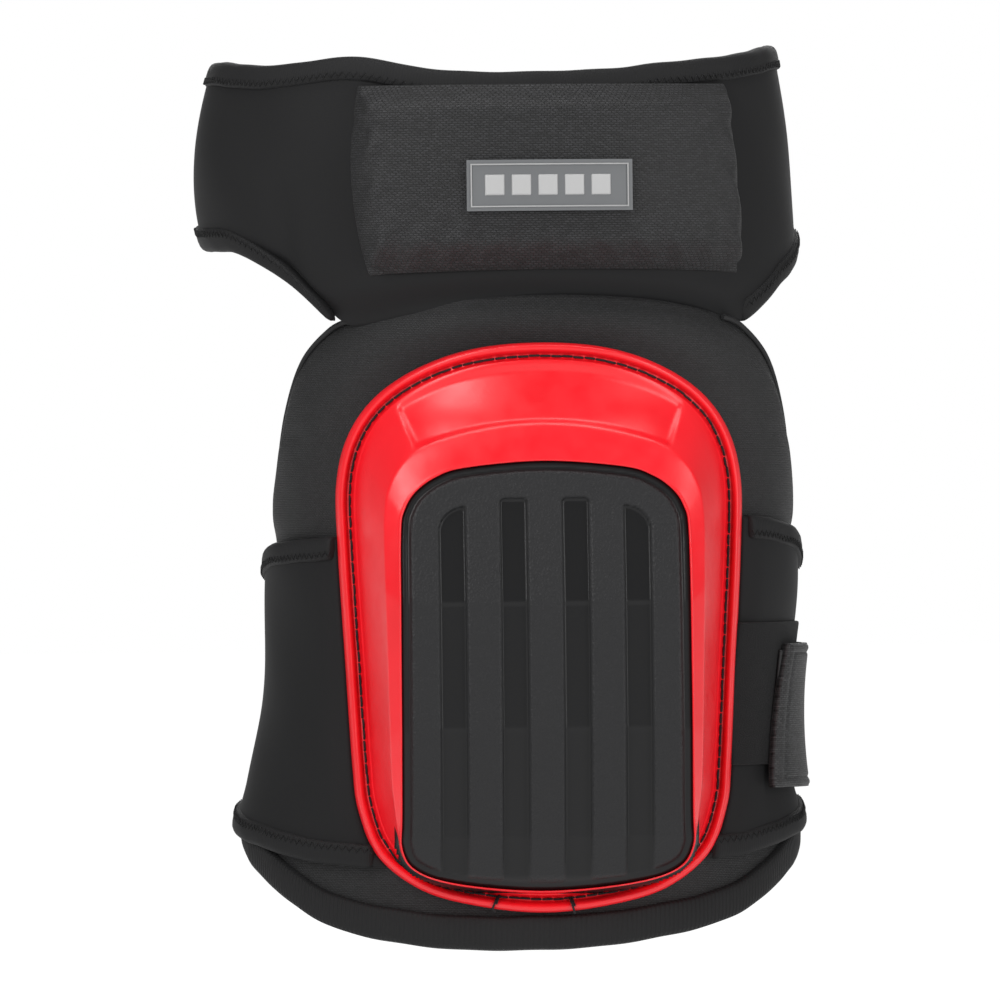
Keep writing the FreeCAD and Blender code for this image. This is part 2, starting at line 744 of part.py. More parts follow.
node("thigh_pocket", cut("thigh_pocket", pocket_blank, pocket_hollow))

pad_layer = shell_between(
    "pad_layer", THIGH_STATIONS, "2 * Sizes.layer_gap",
    f"{pocket_outer} - Sizes.pocket_wall - Sizes.layer_gap",
)
pad_prism = front_prism("pad_prism", rounded_panel("pad", size("pocket_wall") + size("layer_gap")))
pad_tuck = raised("pad_tuck", cuff_sketch, front_prism, "-Sizes.binding_width - 2", -FAR, 0)
pad_room = common("pad_room", pad_prism, pad_tuck)
node("thigh_foam", common("thigh_foam", pad_layer, pad_room))

# Rubber label sewn on the pocket, with its line of stitches.
label_left = size("label_centre") - size("label_width") / 2
label_low = size("label_bottom")


def label_panel(name, inset):
    left, right = label_left + inset, label_left + size("label_width") - inset
    low, high = label_low + inset, label_low + size("label_height") - inset
    return polygon(name, FACING_FRONT, [(left, low), (right, low), (right, high), (left, high)])


label_layer = shell_between(
    "label_layer", THIGH_STATIONS, f"{pocket_outer} + Sizes.layer_gap",
    f"{pocket_outer} + Sizes.label_thickness",
)
label_plate = common("label_plate", label_layer, front_prism("label_prism", label_panel("label", 0)))
node("label", label_plate)

label_thread_layer = shell_between(
    "label_thread_layer", THIGH_STATIONS, f"{pocket_outer} + Sizes.label_thickness + 0.05",
    f"{pocket_outer} + Sizes.label_thickness + 0.5",
)
thread_outer = front_prism("thread_outer", label_panel("thread_outer", 1.4))
thread_window = front_prism("thread_window", label_panel("thread_inner", 1.9))
thread_room = cut("thread_room", thread_outer, thread_window)
node("label_stitching", common("label_stitching", label_thread_layer, thread_room))

# Loop patch, strap and hook patch that close the cuff at the back.
cuff_loop_layer = shell_between(
    "cuff_loop_layer", THIGH_STATIONS, "Sizes.layer_gap", "Sizes.layer_gap + Sizes.loop_thickness"
)
cuff_patch_room = block("cuff_patch_room", (47, 27, 163), (FAR, FAR, 198))
node("cuff_loop_patch", common("cuff_loop_patch", cuff_loop_layer, cuff_patch_room))

CUFF_HEIGHT = ("Sizes.cuff_strap_bottom", "Sizes.cuff_strap_top")
cuff_webbing = strap_layer("cuff_webbing", THIGH_STATIONS, "0", strap_start, strap_end)
cuff_anchor_layer = strap_layer(
    "cuff_anchor_layer", THIGH_STATIONS, "0", "Sizes.binding_thickness + 0.4", strap_end
)
cuff_anchor_room = strap_room(
    "cuff_anchor_room", -FAR, -50, "Sizes.cuff_anchor_front",
    f"Sizes.cuff_left_hinge_back - {half_gap}", CUFF_HEIGHT,
)
node("cuff_strap_anchor", common("cuff_strap_anchor", cuff_anchor_layer, cuff_anchor_room))


def on_strap(back, side):
    """The X of the middle of the cuff strap where it is a distance behind the origin."""
    middle = size("strap_lift") + size("strap_thickness") / 2
    height = (size("cuff_strap_top") + size("cuff_strap_bottom")) / 2
    half_width, depth, shift = ellipse_at(THIGH_STATIONS, height)
    return shift + side * (half_width + middle) * math.sqrt(1 - (back / (depth + middle)) ** 2)


# The right hinge is where the strap already runs nearly level, so the parts meet at a plane in X.
cuff_turn = on_strap(size("cuff_right_hinge_back"), 1)
gap = size("strap_gap") / 2
cuff_back_room = strap_room(
    "cuff_back_room", -FAR, cuff_turn - gap, f"Sizes.cuff_left_hinge_back + {half_gap}", FAR, CUFF_HEIGHT
)
node("cuff_strap_back", common("cuff_strap_back", cuff_webbing, cuff_back_room))
cuff_end_room = strap_room(
    "cuff_end_room", cuff_turn + gap, FAR, "Sizes.cuff_strap_tip", FAR, CUFF_HEIGHT
)
node("cuff_strap_end", common("cuff_strap_end", cuff_webbing, cuff_end_room))

cuff_hook_layer = strap_layer(
    "cuff_hook_layer", THIGH_STATIONS, "0", "Sizes.hook_lift", "Sizes.hook_lift + Sizes.hook_thickness"
)
cuff_hook_room = block("cuff_hook_room", (52, 29, 165), (FAR, FAR, 196))
node("cuff_hook_patch", common("cuff_hook_patch", cuff_hook_layer, cuff_hook_room))

# ---------------------------------------------------------------- build, check and write

doc.recompute()
failed = [
    f"{item.Label} {item.State}"
    for item in doc.Objects
    if "Invalid" in item.State or "Error" in item.State
]
failed += [
    f"{item.Label} has no valid solid"
    for item in nodes
    if item.Shape.isNull() or not item.Shape.isValid() or not item.Shape.Solids
]
if failed:
    raise RuntimeError("; ".join(failed))

os.makedirs("parts", exist_ok=True)
for item in nodes:
    item.Shape.exportStep(f"parts/{item.Label}.step")
    print(f"{item.Label}: {len(item.Shape.Solids)} solid, {item.Shape.Volume / 1000:.1f} cm3")
print(f"{len(nodes)} sub-parts written")
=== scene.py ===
import math
import random

import bmesh
import bpy
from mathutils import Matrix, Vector, kdtree


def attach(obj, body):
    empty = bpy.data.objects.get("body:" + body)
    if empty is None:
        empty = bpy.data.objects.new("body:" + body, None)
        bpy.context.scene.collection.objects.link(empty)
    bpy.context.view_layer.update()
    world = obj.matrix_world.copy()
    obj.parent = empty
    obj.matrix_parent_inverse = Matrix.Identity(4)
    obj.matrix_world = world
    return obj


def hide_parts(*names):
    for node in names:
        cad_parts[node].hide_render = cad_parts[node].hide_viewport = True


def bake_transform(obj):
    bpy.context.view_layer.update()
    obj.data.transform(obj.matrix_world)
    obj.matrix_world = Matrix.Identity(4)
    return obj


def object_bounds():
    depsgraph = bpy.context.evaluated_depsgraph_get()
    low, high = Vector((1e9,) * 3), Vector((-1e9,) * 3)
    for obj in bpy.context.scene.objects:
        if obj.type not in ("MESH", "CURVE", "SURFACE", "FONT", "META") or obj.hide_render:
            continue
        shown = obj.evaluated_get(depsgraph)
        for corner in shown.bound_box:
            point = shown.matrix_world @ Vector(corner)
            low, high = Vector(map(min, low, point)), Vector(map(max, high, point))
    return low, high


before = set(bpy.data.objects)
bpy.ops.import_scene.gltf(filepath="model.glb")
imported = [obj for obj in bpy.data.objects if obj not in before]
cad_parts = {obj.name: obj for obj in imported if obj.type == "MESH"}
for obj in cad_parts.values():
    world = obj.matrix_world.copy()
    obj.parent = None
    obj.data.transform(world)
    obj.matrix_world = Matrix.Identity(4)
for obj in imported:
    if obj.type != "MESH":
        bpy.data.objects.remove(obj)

cad_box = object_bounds()
MM = 0.001
dice = random.Random(7)

# ---- Camera, floor and lights -------------------------------------------------------------
# The pad is seen from the front and a touch from the left, through a long lens, level with its
# middle. The room and its floor glow plain white, with a key light on the left, a fill on the
# right, a bar above and a light behind.
CAMERA_TURN = math.radians(-3)
CAMERA_LEAN = math.radians(0.6)
CAMERA_AWAY = 6.0
VIEW_WIDTH = 0.370
SENSOR_WIDTH = 36
SIGHT_LIMIT = 50
AIM = Vector((-0.0121, 0, 0.0474))


def place_camera():
    lens = bpy.data.cameras.new("camera")
    camera = bpy.data.objects.new("camera", lens)
    bpy.context.collection.objects.link(camera)
    away = Vector((math.sin(CAMERA_TURN), -math.cos(CAMERA_TURN), 0)) * CAMERA_AWAY
    camera.location = AIM + away
    camera.rotation_euler = (math.radians(90), CAMERA_LEAN, CAMERA_TURN)
    lens.sensor_width = SENSOR_WIDTH
    lens.lens = SENSOR_WIDTH * CAMERA_AWAY / VIEW_WIDTH
    lens.clip_end = SIGHT_LIMIT
    bpy.context.scene.camera = camera


def soft_light(name, place, aim, width, height, watts):
    lamp = bpy.data.lights.new(name, "AREA")
    lamp.shape = "RECTANGLE"
    lamp.size = width
    lamp.size_y = height
    lamp.energy = watts
    light = bpy.data.objects.new(name, lamp)
    light.location = place
    light.rotation_euler = (Vector(aim) - Vector(place)).to_track_quat("-Z", "Y").to_euler()
    bpy.context.collection.objects.link(light)


place_camera()
soft_light("key", (-0.9, -1.3, 0.9), (0, 0, 0.05), 0.7, 1.1, 17)
soft_light("fill", (1.1, -1.1, 0.35), (0, 0, 0.03), 0.5, 1.2, 9)
soft_light("top", (0.0, -0.25, 1.4), (0, 0, 0), 1.2, 0.5, 9)
soft_light("back", (0.2, 1.3, 0.7), (0, 0, 0.05), 1.4, 0.8, 10)

# The room gives the pad a dim even light, and is plain white where it is seen behind the pad.
ROOM_LIGHT = 0.2
ROOM_WHITE = 1.0
room = bpy.data.worlds.new("room")
room.use_nodes = True
room_walls = room.node_tree.nodes["Background"]
room_walls.inputs["Color"].default_value = (1, 1, 1, 1)
seen_or_lit = room.node_tree.nodes.new("ShaderNodeLightPath")
room_level = room.node_tree.nodes.new("ShaderNodeMapRange")
room_level.inputs["To Min"].default_value = ROOM_LIGHT
room_level.inputs["To Max"].default_value = ROOM_WHITE
room.node_tree.links.new(seen_or_lit.outputs["Is Camera Ray"], room_level.inputs["Value"])
room.node_tree.links.new(room_level.outputs["Result"], room_walls.inputs["Strength"])
bpy.context.scene.world = room
bpy.context.scene.view_settings.view_transform = "Standard"

FLOOR_HALF = 12
FLOOR_GAP = 0.0005
floor_paint = bpy.data.materials.new("floor_paint")
floor_paint.use_nodes = True
floor_glow = floor_paint.node_tree.nodes["Principled BSDF"]
floor_glow.inputs["Base Color"].default_value = (0, 0, 0, 1)
floor_glow.inputs["Roughness"].default_value = 0.9
floor_glow.inputs["Emission Color"].default_value = (1, 1, 1, 1)
floor_glow.inputs["Emission Strength"].default_value = 1.0
floor_mesh = bmesh.new()
bmesh.ops.create_grid(floor_mesh, x_segments=1, y_segments=1, size=FLOOR_HALF)
bmesh.ops.translate(floor_mesh, verts=floor_mesh.verts, vec=(0, 0, cad_box[0][2] - FLOOR_GAP))
floor_data = bpy.data.meshes.new("floor")
floor_mesh.to_mesh(floor_data)
floor_mesh.free()
floor_data.materials.append(floor_paint)
floor = bpy.data.objects.new("floor", floor_data)
bpy.context.collection.objects.link(floor)

# ---- Cap shell ----------------------------------------------------------------------------
# The hard cap is injection moulded in red polypropylene with a semi-gloss face. A round bead runs
# round its edge, then a sewing channel, a lip, and a skirt that climbs to the opening for the
# kneeling insert. A shallow scoop is pressed in above the opening.

# Level sections of the leg, which is the outer face of the padded body: height, half width,
# half depth and shift to the right, in millimetres.
LEG = (
    (130, 93, 60, 0), (20, 94.5, 62, -0.5), (-25, 93, 62, -3.5), (-55, 96.6, 61, -6),
    (-75, 101.7, 59, -6), (-125, 104, 52, -7),
)


def level(form, height):
    """Half width, half depth and shift of a form at a height, eased from level to level."""
    rows = sorted(form)
    place = max(0, min(len(rows) - 2, sum(height > row[0] for row in rows) - 1))
    low, high = rows[place], rows[place + 1]
    before, after = rows[max(place - 1, 0)], rows[min(place + 2, len(rows) - 1)]
    step = high[0] - low[0]
    t = (height - low[0]) / step
    values = []
    for k in (1, 2, 3):
        leave = (high[k] - before[k]) / (high[0] - before[0]) * step
        arrive = (after[k] - low[k]) / (after[0] - low[0]) * step
        if 0 <= t <= 1:
            values.append(
                (2 * t**3 - 3 * t**2 + 1) * low[k] + (t**3 - 2 * t**2 + t) * leave
                + (3 * t**2 - 2 * t**3) * high[k] + (t**3 - t**2) * arrive
            )
        else:
            values.append(low[k] + leave * t if t < 0 else high[k] + arrive * (t - 1))
    return values


def around(form, angle, height, lift=0.0):
    """A point round a form, in metres: the angle runs from the front, positive to the right."""
    half, depth, shift = level(form, height)
    turn = math.radians(angle)
    return Vector((
        (shift + (half + lift) * math.sin(turn)) * MM, -(depth + lift) * math.cos(turn) * MM, height * MM
    ))


def front_of(form, across, height):
    """The Y of the front of a form in millimetres, and how much steeper than level it is there."""
    half, depth, shift = level(form, height)
    share = max(-0.985, min(0.985, (across - shift) / half))
    root = math.sqrt(1 - share * share)
    return -depth * root, math.sqrt(1 + (depth / half * share / root) ** 2)


def ease(low, high, value):
    """0 below low, 1 above high, and a smooth step between."""
    t = max(0.0, min(1.0, (value - low) / (high - low)))
    return t * t * (3 - 2 * t)


CURVE_STEPS = 24


def smooth_points(points, count, closed=True):
    """Evenly spaced points on a smooth curve through the given ones."""
    total = len(points)
    spots = []
    for index in range(total if closed else total - 1):
        corners = [
            Vector(points[(index + k) % total] if closed else points[max(0, min(total - 1, index + k))])
            for k in (-1, 0, 1, 2)
        ]
        for step in range(CURVE_STEPS):
            t = step / CURVE_STEPS
            a, b, c, d = corners
            spots.append(0.5 * (
                2 * b + (c - a) * t + (2 * a - 5 * b + 4 * c - d) * t**2 + (3 * b - a - 3 * c + d) * t**3
            ))
    spots.append(Vector(points[0] if closed else points[-1]))
    run = [0.0]
    for start, end in zip(spots, spots[1:]):
        run.append(run[-1] + (end - start).length)
    even = []
    place = 0
    for index in range(count):
        goal = run[-1] * index / (count if closed else count - 1)
        while place < len(run) - 2 and run[place + 1] < goal:
            place += 1
        share = (goal - run[place]) / max(run[place + 1] - run[place], 1e-9)
        even.append(spots[place].lerp(spots[place + 1], share))
    return even


def mirrored(half):
    """A whole outline from its right half."""
    return half + [(-across, up) for across, up in half[-2:0:-1]]


CAP_EDGE = mirrored([
    (0, 105), (24, 103), (44, 96.5), (60, 86), (70, 72), (74.5, 54), (74.2, 29), (72, -12),
    (70, -49), (68, -66), (61, -83), (45, -95.5), (24, -101.5), (0, -104),
])
OPENING_EDGE = mirrored([
    (0, 61.8), (29, 59.5), (40, 56), (47.3, 50.7), (51.2, 44.5), (52.8, 36), (53.2, 3),
    (53.4, -64), (53.3, -80), (47, -88.5), (30, -93.5), (0, -96),
])
CAP_STEPS = 400
FACE_PROFILE = [(-99, -64), (-90, -73), (-76, -79.5), (-37, -84), (10, -84), (62, -77)]


def face_y(height):
    """The Y of the kneeling face at a height, in millimetres."""
    place = max(0, min(len(FACE_PROFILE) - 2, sum(height > row[0] for row in FACE_PROFILE) - 1))
    (low, start), (high, end) = FACE_PROFILE[place], FACE_PROFILE[place + 1]
    return start + (end - start) * (height - low) / (high - low)


def with_inside(outline, count):
    """Even points on an outline, each with its direction to the inside."""
    spots = smooth_points(outline, count)
    pairs = []
    for index, spot in enumerate(spots):
        along = (spots[(index + 1) % count] - spots[index - 1]).normalized()
        pairs.append((spot, Vector((along.y, -along.x))))
    return pairs


MATCHING_STEPS = 2400
rim_spots = with_inside(CAP_EDGE, CAP_STEPS)
matching_spots = with_inside(OPENING_EDGE, MATCHING_STEPS)
HUB = Vector((0, -17))


def bearing(spot):
    """The direction of a spot from the middle of the opening, clockwise from straight up."""
    return math.atan2(spot.x - HUB.x, spot.y - HUB.y)


def opposite(spots, others):
    """For each spot, the pair of the other outline that lies in the same direction."""
    bearings = [bearing(other) for other, _ in others]
    found = []
    for spot, _ in spots:
        goal = bearing(spot)
        gaps = [abs(math.remainder(goal - other, math.tau)) for other in bearings]
        found.append(others[gaps.index(min(gaps))])
    return found


BEAD_WIDTH = 3.5
LIP_REACH = 6.9
EDGE_LAND = 0.9
LEAST_SHARE = 0.2


def room_share(spot):
    """How much of the channel's and lip's full width fits between the edge and the opening."""
    gap = min((other - spot).length for other, _ in matching_spots[::8])
    return max(LEAST_SHARE, min(1.0, (gap - EDGE_LAND - BEAD_WIDTH) / (LIP_REACH - BEAD_WIDTH)))


opening_spots = opposite(rim_spots, matching_spots)
rim_shares = [room_share(spot) for spot, _ in rim_spots]


def rim_line(inwards, lift):
    """A ring of points a distance inside the cap's edge and a height over the body."""
    ring = []
    for (spot, inside), share in zip(rim_spots, rim_shares):
        past_bead = max(0.0, inwards - BEAD_WIDTH)
        across, up = spot + inside * (min(inwards, BEAD_WIDTH) + past_bead * share)
        body_y, steepness = front_of(LEG, across, up)
        ring.append(Vector((across, body_y - lift * steepness, up)))
    return ring


def opening_line(inwards, setback):
    """A ring of points inside the opening's edge and a setback behind the kneeling face."""
    ring = []
    for spot, inside in opening_spots:
        across, up = spot + inside * inwards
        ring.append(Vector((across, face_y(up) + setback, up)))
    return ring


# The scoop's lower edge is an arch, and its two sides lean outwards as they rise.
SCOOP_DEPTH = 1.7
SCOOP_HALF = 47
SCOOP_CROWN = 75.2
SCOOP_DROP = 8.7
SCOOP_CORNER = 66.5
SCOOP_LEAN = 6
SCOOP_HEIGHT = 15.5


def in_scoop(across, up):
    """How deep inside the scoop's edge a spot on the skirt is, from 0 to 1."""
    arch = SCOOP_CROWN - SCOOP_DROP * (across / SCOOP_HALF) ** 2
    side = SCOOP_HALF + (up - SCOOP_CORNER) * SCOOP_LEAN / SCOOP_HEIGHT - abs(across)
    return min(ease(0, 1.5, up - arch), ease(0, 1.8, side))


SKIRT_LINES = 34
SKIRT_TURN = 0.62
SKIRT_RISE = 0.84


def skirt_lines(lip, edge):
    """Rings from the lip to the opening: a steep skirt, then a flatter band. Above the opening
    the two become one even slope, with the scoop in it."""
    rings = []
    for index in range(1, SKIRT_LINES):
        share = index / SKIRT_LINES
        steep = share / SKIRT_TURN * SKIRT_RISE
        flat = SKIRT_RISE + (share - SKIRT_TURN) / (1 - SKIRT_TURN) * (1 - SKIRT_RISE)
        rise = steep if share < SKIRT_TURN else flat
        ring = []
        for start, end in zip(lip, edge):
            across, up = start.x + (end.x - start.x) * share, start.z + (end.z - start.z) * share
            deep = in_scoop(across, up) * ease(0, 0.12, share) * SCOOP_DEPTH
            above = ease(60, 85, up)
            lift = share * above + rise * (1 - above)
            ring.append(Vector((across, start.y + (end.y - start.y) * lift + deep, up)))
        rings.append(ring)
    return rings


def ring_mesh(name, rings):
    """A closed mesh through rings of points, in millimetres, each bridged to the next and the
    last one to the first."""
    shape = bmesh.new()
    loops = []
    for ring in rings:
        made = bmesh.ops.create_circle(shape, segments=len(ring), radius=1)["verts"]
        for vert, spot in zip(made, ring):
            vert.co = spot * MM
        shape.edges.index_update()
        loops.append([edge for edge in shape.edges if edge.verts[0] in made and edge.verts[1] in made])
    for loop, other in zip(loops, loops[1:] + loops[:1]):
        bmesh.ops.bridge_loops(shape, edges=loop + other)
    bmesh.ops.recalc_face_normals(shape, faces=shape.faces)
    return finished(name, shape)


def finished(name, shape):
    """Turns a bmesh into a smooth-shaded object at the origin."""
    data = bpy.data.meshes.new(name)
    shape.to_mesh(data)
    shape.free()
    for face in data.polygons:
        face.use_smooth = True
    piece = bpy.data.objects.new(name, data)
    bpy.context.collection.objects.link(piece)
    return piece


def subdivide(piece, levels):
    modifier = piece.modifiers.new("subdivide", "SUBSURF")
    modifier.levels = levels
    modifier.render_levels = levels


def paint(name, colour, roughness, **sockets):
    """A material with one shader, its plain numbers on the shader's own sockets."""
    material = bpy.data.materials.new(name)
    material.use_nodes = True
    shader = material.node_tree.nodes["Principled BSDF"]
    shader.inputs["Base Color"].default_value = (*colour, 1)
    shader.inputs["Roughness"].default_value = roughness
    for socket, value in sockets.items():
        shader.inputs[socket.replace("_", " ")].default_value = value
    return material


def add_node(material, kind, **values):
    """A node of a material, with its settings or its sockets set by name."""
    made = material.node_tree.nodes.new(kind)
    for key, value in values.items():
        if hasattr(made, key):
            setattr(made, key, value)
        else:
            made.inputs[key.replace("_", " ")].default_value = value
    return made


def join(material, start, end):
    material.node_tree.links.new(start, end)


def shader_of(material):
    return material.node_tree.nodes["Principled BSDF"]


def red_plastic():
    """Semi-gloss moulded plastic: a faint orange peel, fine scuffs, and slightly mottled red."""
    material = paint("red_plastic", (0.86, 0.006, 0.014), 0.34, Coat_Weight=0.15, Coat_Roughness=0.25)
    place = add_node(material, "ShaderNodeTexCoord")
    peel = add_node(material, "ShaderNodeTexNoise", Scale=900, Detail=3)
    bump = add_node(material, "ShaderNodeBump", Strength=0.08, Distance=0.0004)
    mottle = add_node(material, "ShaderNodeTexNoise", Scale=28, Detail=4)
    tint = add_node(material, "ShaderNodeValToRGB")
    tint.color_ramp.elements[0].position = 0.3
    tint.color_ramp.elements[0].color = (0.80, 0.004, 0.011, 1)
    tint.color_ramp.elements[1].position = 0.75
    tint.color_ramp.elements[1].color = (0.90, 0.008, 0.018, 1)
    scuff = add_node(material, "ShaderNodeTexNoise", Scale=140, Detail=6)
    gloss = add_node(material, "ShaderNodeMapRange", From_Min=0.3, From_Max=0.7, To_Min=0.29, To_Max=0.42)
    for texture in (peel, mottle, scuff):
        join(material, place.outputs["Object"], texture.inputs["Vector"])
    join(material, peel.outputs["Fac"], bump.inputs["Height"])
    join(material, bump.outputs["Normal"], shader_of(material).inputs["Normal"])
    join(material, mottle.outputs["Fac"], tint.inputs["Fac"])
    join(material, tint.outputs["Color"], shader_of(material).inputs["Base Color"])
    join(material, scuff.outputs["Fac"], gloss.inputs["Value"])
    join(material, gloss.outputs["Result"], shader_of(material).inputs["Roughness"])
    return material


# Each ring's distance inside the edge and height over the body: up over the bead, down into the
# channel, up to the lip, then the skirt, the rounded edge of the opening and the underside.
cap_lip = rim_line(LIP_REACH, 5.6)
cap_opening = opening_line(0, -0.7)
cap_under = opening_line(0.2, 2.6)
cap_rings = [
    rim_line(0.7, 0.4), rim_line(0.1, 1.0), rim_line(0, 2.8), rim_line(0.1, 4.9), rim_line(0.8, 6.4),
    rim_line(1.8, 7.0), rim_line(2.8, 6.5), rim_line(3.5, 5.3), rim_line(3.9, 4.1), rim_line(4.3, 3.8),
    rim_line(5.5, 3.8), rim_line(5.9, 4.1), rim_line(6.2, 5.1), rim_line(6.5, 5.5), cap_lip,
    *skirt_lines(cap_lip, cap_opening),
    opening_line(-0.5, -0.75), cap_opening, opening_line(0.25, -0.3), opening_line(0.3, 0.4), cap_under,
    rim_line(8.2, 2.8), rim_line(7.9, 0.5),
]
cap = ring_mesh("cap", cap_rings)
subdivide(cap, 1)
cap.data.materials.append(red_plastic())
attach(cap, "root")
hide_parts("cap_shell")

# ---- Kneeling insert ----------------------------------------------------------------------
# A thick moulded rubber insert shows through the opening: five grained ribs with four smooth
# grooves between them, inside a smooth flange that runs round under the edge of the shell.
GROOVE_EDGES = (6.3, 16.3, 28.9, 38.9)
GROOVE_DEPTH = 2.4
SHALLOW_DEPTH = 0.35
GROOVE_STEP = 0.28
GROOVE_WALL = 0.36
INNER_GROOVE_TOP = 48
INNER_GROOVE_CORNER = 1.6
OUTER_GROOVE_CORNER = 35.8
OUTER_GROOVE_ARCH = 9.4
FLANGE_DROP = 1.5
FLANGE_WIDTH = 3.9
INSERT_HALF = 56.5
INSERT_LOW = -98.5
INSERT_HIGH = 64.5
INSERT_MARGIN = 2.4
INSERT_WALL = 4
CELL = 0.72
OPENING_STEPS = 960

opening_tree = kdtree.KDTree(OPENING_STEPS)
opening_outline = with_inside(OPENING_EDGE, OPENING_STEPS)
for index, (spot, inside) in enumerate(opening_outline):
    opening_tree.insert((spot.x, spot.y, 0), index)
opening_tree.balance()


def inside_opening(across, up):
    """How far inside the opening's edge a spot is; below zero outside it."""
    _, nearest, gap = opening_tree.find((across, up, 0))
    edge, inwards = opening_outline[nearest]
    return math.copysign(gap, (Vector((across, up)) - edge).dot(inwards))


def in_groove(across, up):
    """1 on a groove's floor, 0 on a rib, with a short steep wall between. The two inner grooves
    end square with rounded corners, and the two outer ones in a quarter arch."""
    side = abs(across)
    deepest = 0.0
    for inner, outer in (GROOVE_EDGES[:2], GROOVE_EDGES[2:]):
        if not inner - 1 < side < outer + 1:
            continue
        if inner == GROOVE_EDGES[0]:
            corner = INNER_GROOVE_CORNER
            past = max(abs(side - (inner + outer) / 2) - (outer - inner) / 2 + corner, 0)
            end = INNER_GROOVE_TOP - corner + math.sqrt(max(corner * corner - past * past, 0))
        else:
            share = max(0.0, min(1.0, (side - inner) / (outer - inner)))
            end = OUTER_GROOVE_CORNER + OUTER_GROOVE_ARCH * math.sqrt(1 - share * share)
        walls = min(ease(-0.35, 0.45, side - inner), ease(-0.35, 0.45, outer - side))
        deepest = max(deepest, min(walls, ease(-0.35, 0.5, end - up)))
    return deepest


def make_insert():
    """The insert's face: a fine grid with the ribs, grooves, flange and bead pushed into it. Its
    "groove" layer is 1 on the smooth rubber and 0 on the grained ribs; the material also uses it
    for painted shade, a darker colour in the grooves and on the sunk flange."""
    shape = bmesh.new()
    columns = round(2 * INSERT_HALF / CELL)
    rows = round((INSERT_HIGH - INSERT_LOW) / CELL)
    bmesh.ops.create_grid(shape, x_segments=columns, y_segments=rows, size=0.5)
    smooth_and_shade_layer = shape.verts.layers.float.new("groove")
    outside = []
    for vert in shape.verts:
        across = vert.co.x * 2 * INSERT_HALF
        side = abs(across)
        for edge in GROOVE_EDGES:
            for target in (edge - GROOVE_WALL, edge + GROOVE_WALL):
                if abs(side - target) < CELL / 2:
                    across = math.copysign(target, across)
        up = INSERT_LOW + (vert.co.y + 0.5) * (INSERT_HIGH - INSERT_LOW)
        depth = inside_opening(across, up)
        if depth < -INSERT_MARGIN:
            outside.append(vert)
        raised = ease(FLANGE_WIDTH - 0.9, FLANGE_WIDTH + 0.5, depth)
        fade = ease(-96, -84, up)
        groove = in_groove(across, up) * raised
        step = GROOVE_STEP * (ease(9.2, 10.0, up) + ease(-37.0, -36.2, up))
        bead = 0.5 * max(0.0, 1 - abs(depth - 1.6) / 1.3)
        sunk = GROOVE_DEPTH * (SHALLOW_DEPTH + (1 - SHALLOW_DEPTH) * fade) - step
        back = FLANGE_DROP * (1 - raised) - bead + groove * sunk
        back += 2.6 * max(0.0, 0.1 - depth)
        # This layer also marks the painted shade: the grooves and the flange are coloured darker.
        vert[smooth_and_shade_layer] = max(groove, 1 - raised)
        vert.co = Vector((across, face_y(up) + back, up)) * MM
    bmesh.ops.delete(shape, geom=outside, context="VERTS")
    bmesh.ops.recalc_face_normals(shape, faces=shape.faces)
    if sum(face.normal.y for face in shape.faces) > 0:
        bmesh.ops.reverse_faces(shape, faces=shape.faces)
    return finished("kneeling_insert", shape)


def grained_rubber():
    """Moulded rubber: fine leather grain on the ribs, smoother and glossier in the grooves. The
    grooves and the sunk flange are also painted darker, as painted shade.
    """
    material = paint("grained_rubber", (0.03, 0.03, 0.032), 0.5, Specular_IOR_Level=0.32)
    place = add_node(material, "ShaderNodeTexCoord")
    grain = add_node(material, "ShaderNodeTexVoronoi", feature="SMOOTH_F1", Scale=1150, Smoothness=0.6)
    skin = add_node(material, "ShaderNodeTexNoise", Scale=420, Detail=5)
    both = add_node(material, "ShaderNodeMath", operation="ADD")
    smooth = add_node(material, "ShaderNodeAttribute", attribute_name="groove")
    rough_share = add_node(material, "ShaderNodeMapRange", From_Min=0, From_Max=1, To_Min=0.42, To_Max=0.04)
    bump = add_node(material, "ShaderNodeBump", Distance=0.0005)
    gloss = add_node(material, "ShaderNodeMapRange", From_Min=0, From_Max=1, To_Min=0.52, To_Max=0.36)
    # Painted shade: the smooth rubber of the grooves and of the sunk flange under the shell's edge gets a
    # darker colour than the grained ribs.
    tint = add_node(material, "ShaderNodeMixRGB", blend_type="MIX")
    tint.inputs["Color1"].default_value = (0.014, 0.014, 0.015, 1)
    tint.inputs["Color2"].default_value = (0.006, 0.006, 0.0065, 1)
    join(material, place.outputs["Object"], grain.inputs["Vector"])
    join(material, place.outputs["Object"], skin.inputs["Vector"])
    join(material, grain.outputs["Distance"], both.inputs[0])
    join(material, skin.outputs["Fac"], both.inputs[1])
    join(material, both.outputs[0], bump.inputs["Height"])
    join(material, smooth.outputs["Fac"], rough_share.inputs["Value"])
    join(material, rough_share.outputs["Result"], bump.inputs["Strength"])
    join(material, smooth.outputs["Fac"], gloss.inputs["Value"])
    join(material, gloss.outputs["Result"], shader_of(material).inputs["Roughness"])
    join(material, smooth.outputs["Fac"], tint.inputs["Fac"])
    join(material, tint.outputs["Color"], shader_of(material).inputs["Base Color"])
    join(material, bump.outputs["Normal"], shader_of(material).inputs["Normal"])
    return material


insert = make_insert()
wall = insert.modifiers.new("wall", "SOLIDIFY")
wall.thickness = INSERT_WALL * MM
wall.offset = -1
insert.data.materials.append(grained_rubber())
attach(insert, "root")
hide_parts("cap_insert")

# ---- Cap stitching ------------------------------------------------------------------------
# Heavy black thread sews the shell to the padded body: a lockstitch round the floor of the
# channel, with two tied-off tails that cross the bead at the bottom.
STITCH_LENGTH = 3.5
STITCH_PITCH = 4.1
CHANNEL_STEPS = 1680
THREAD_RADIUS = 0.42


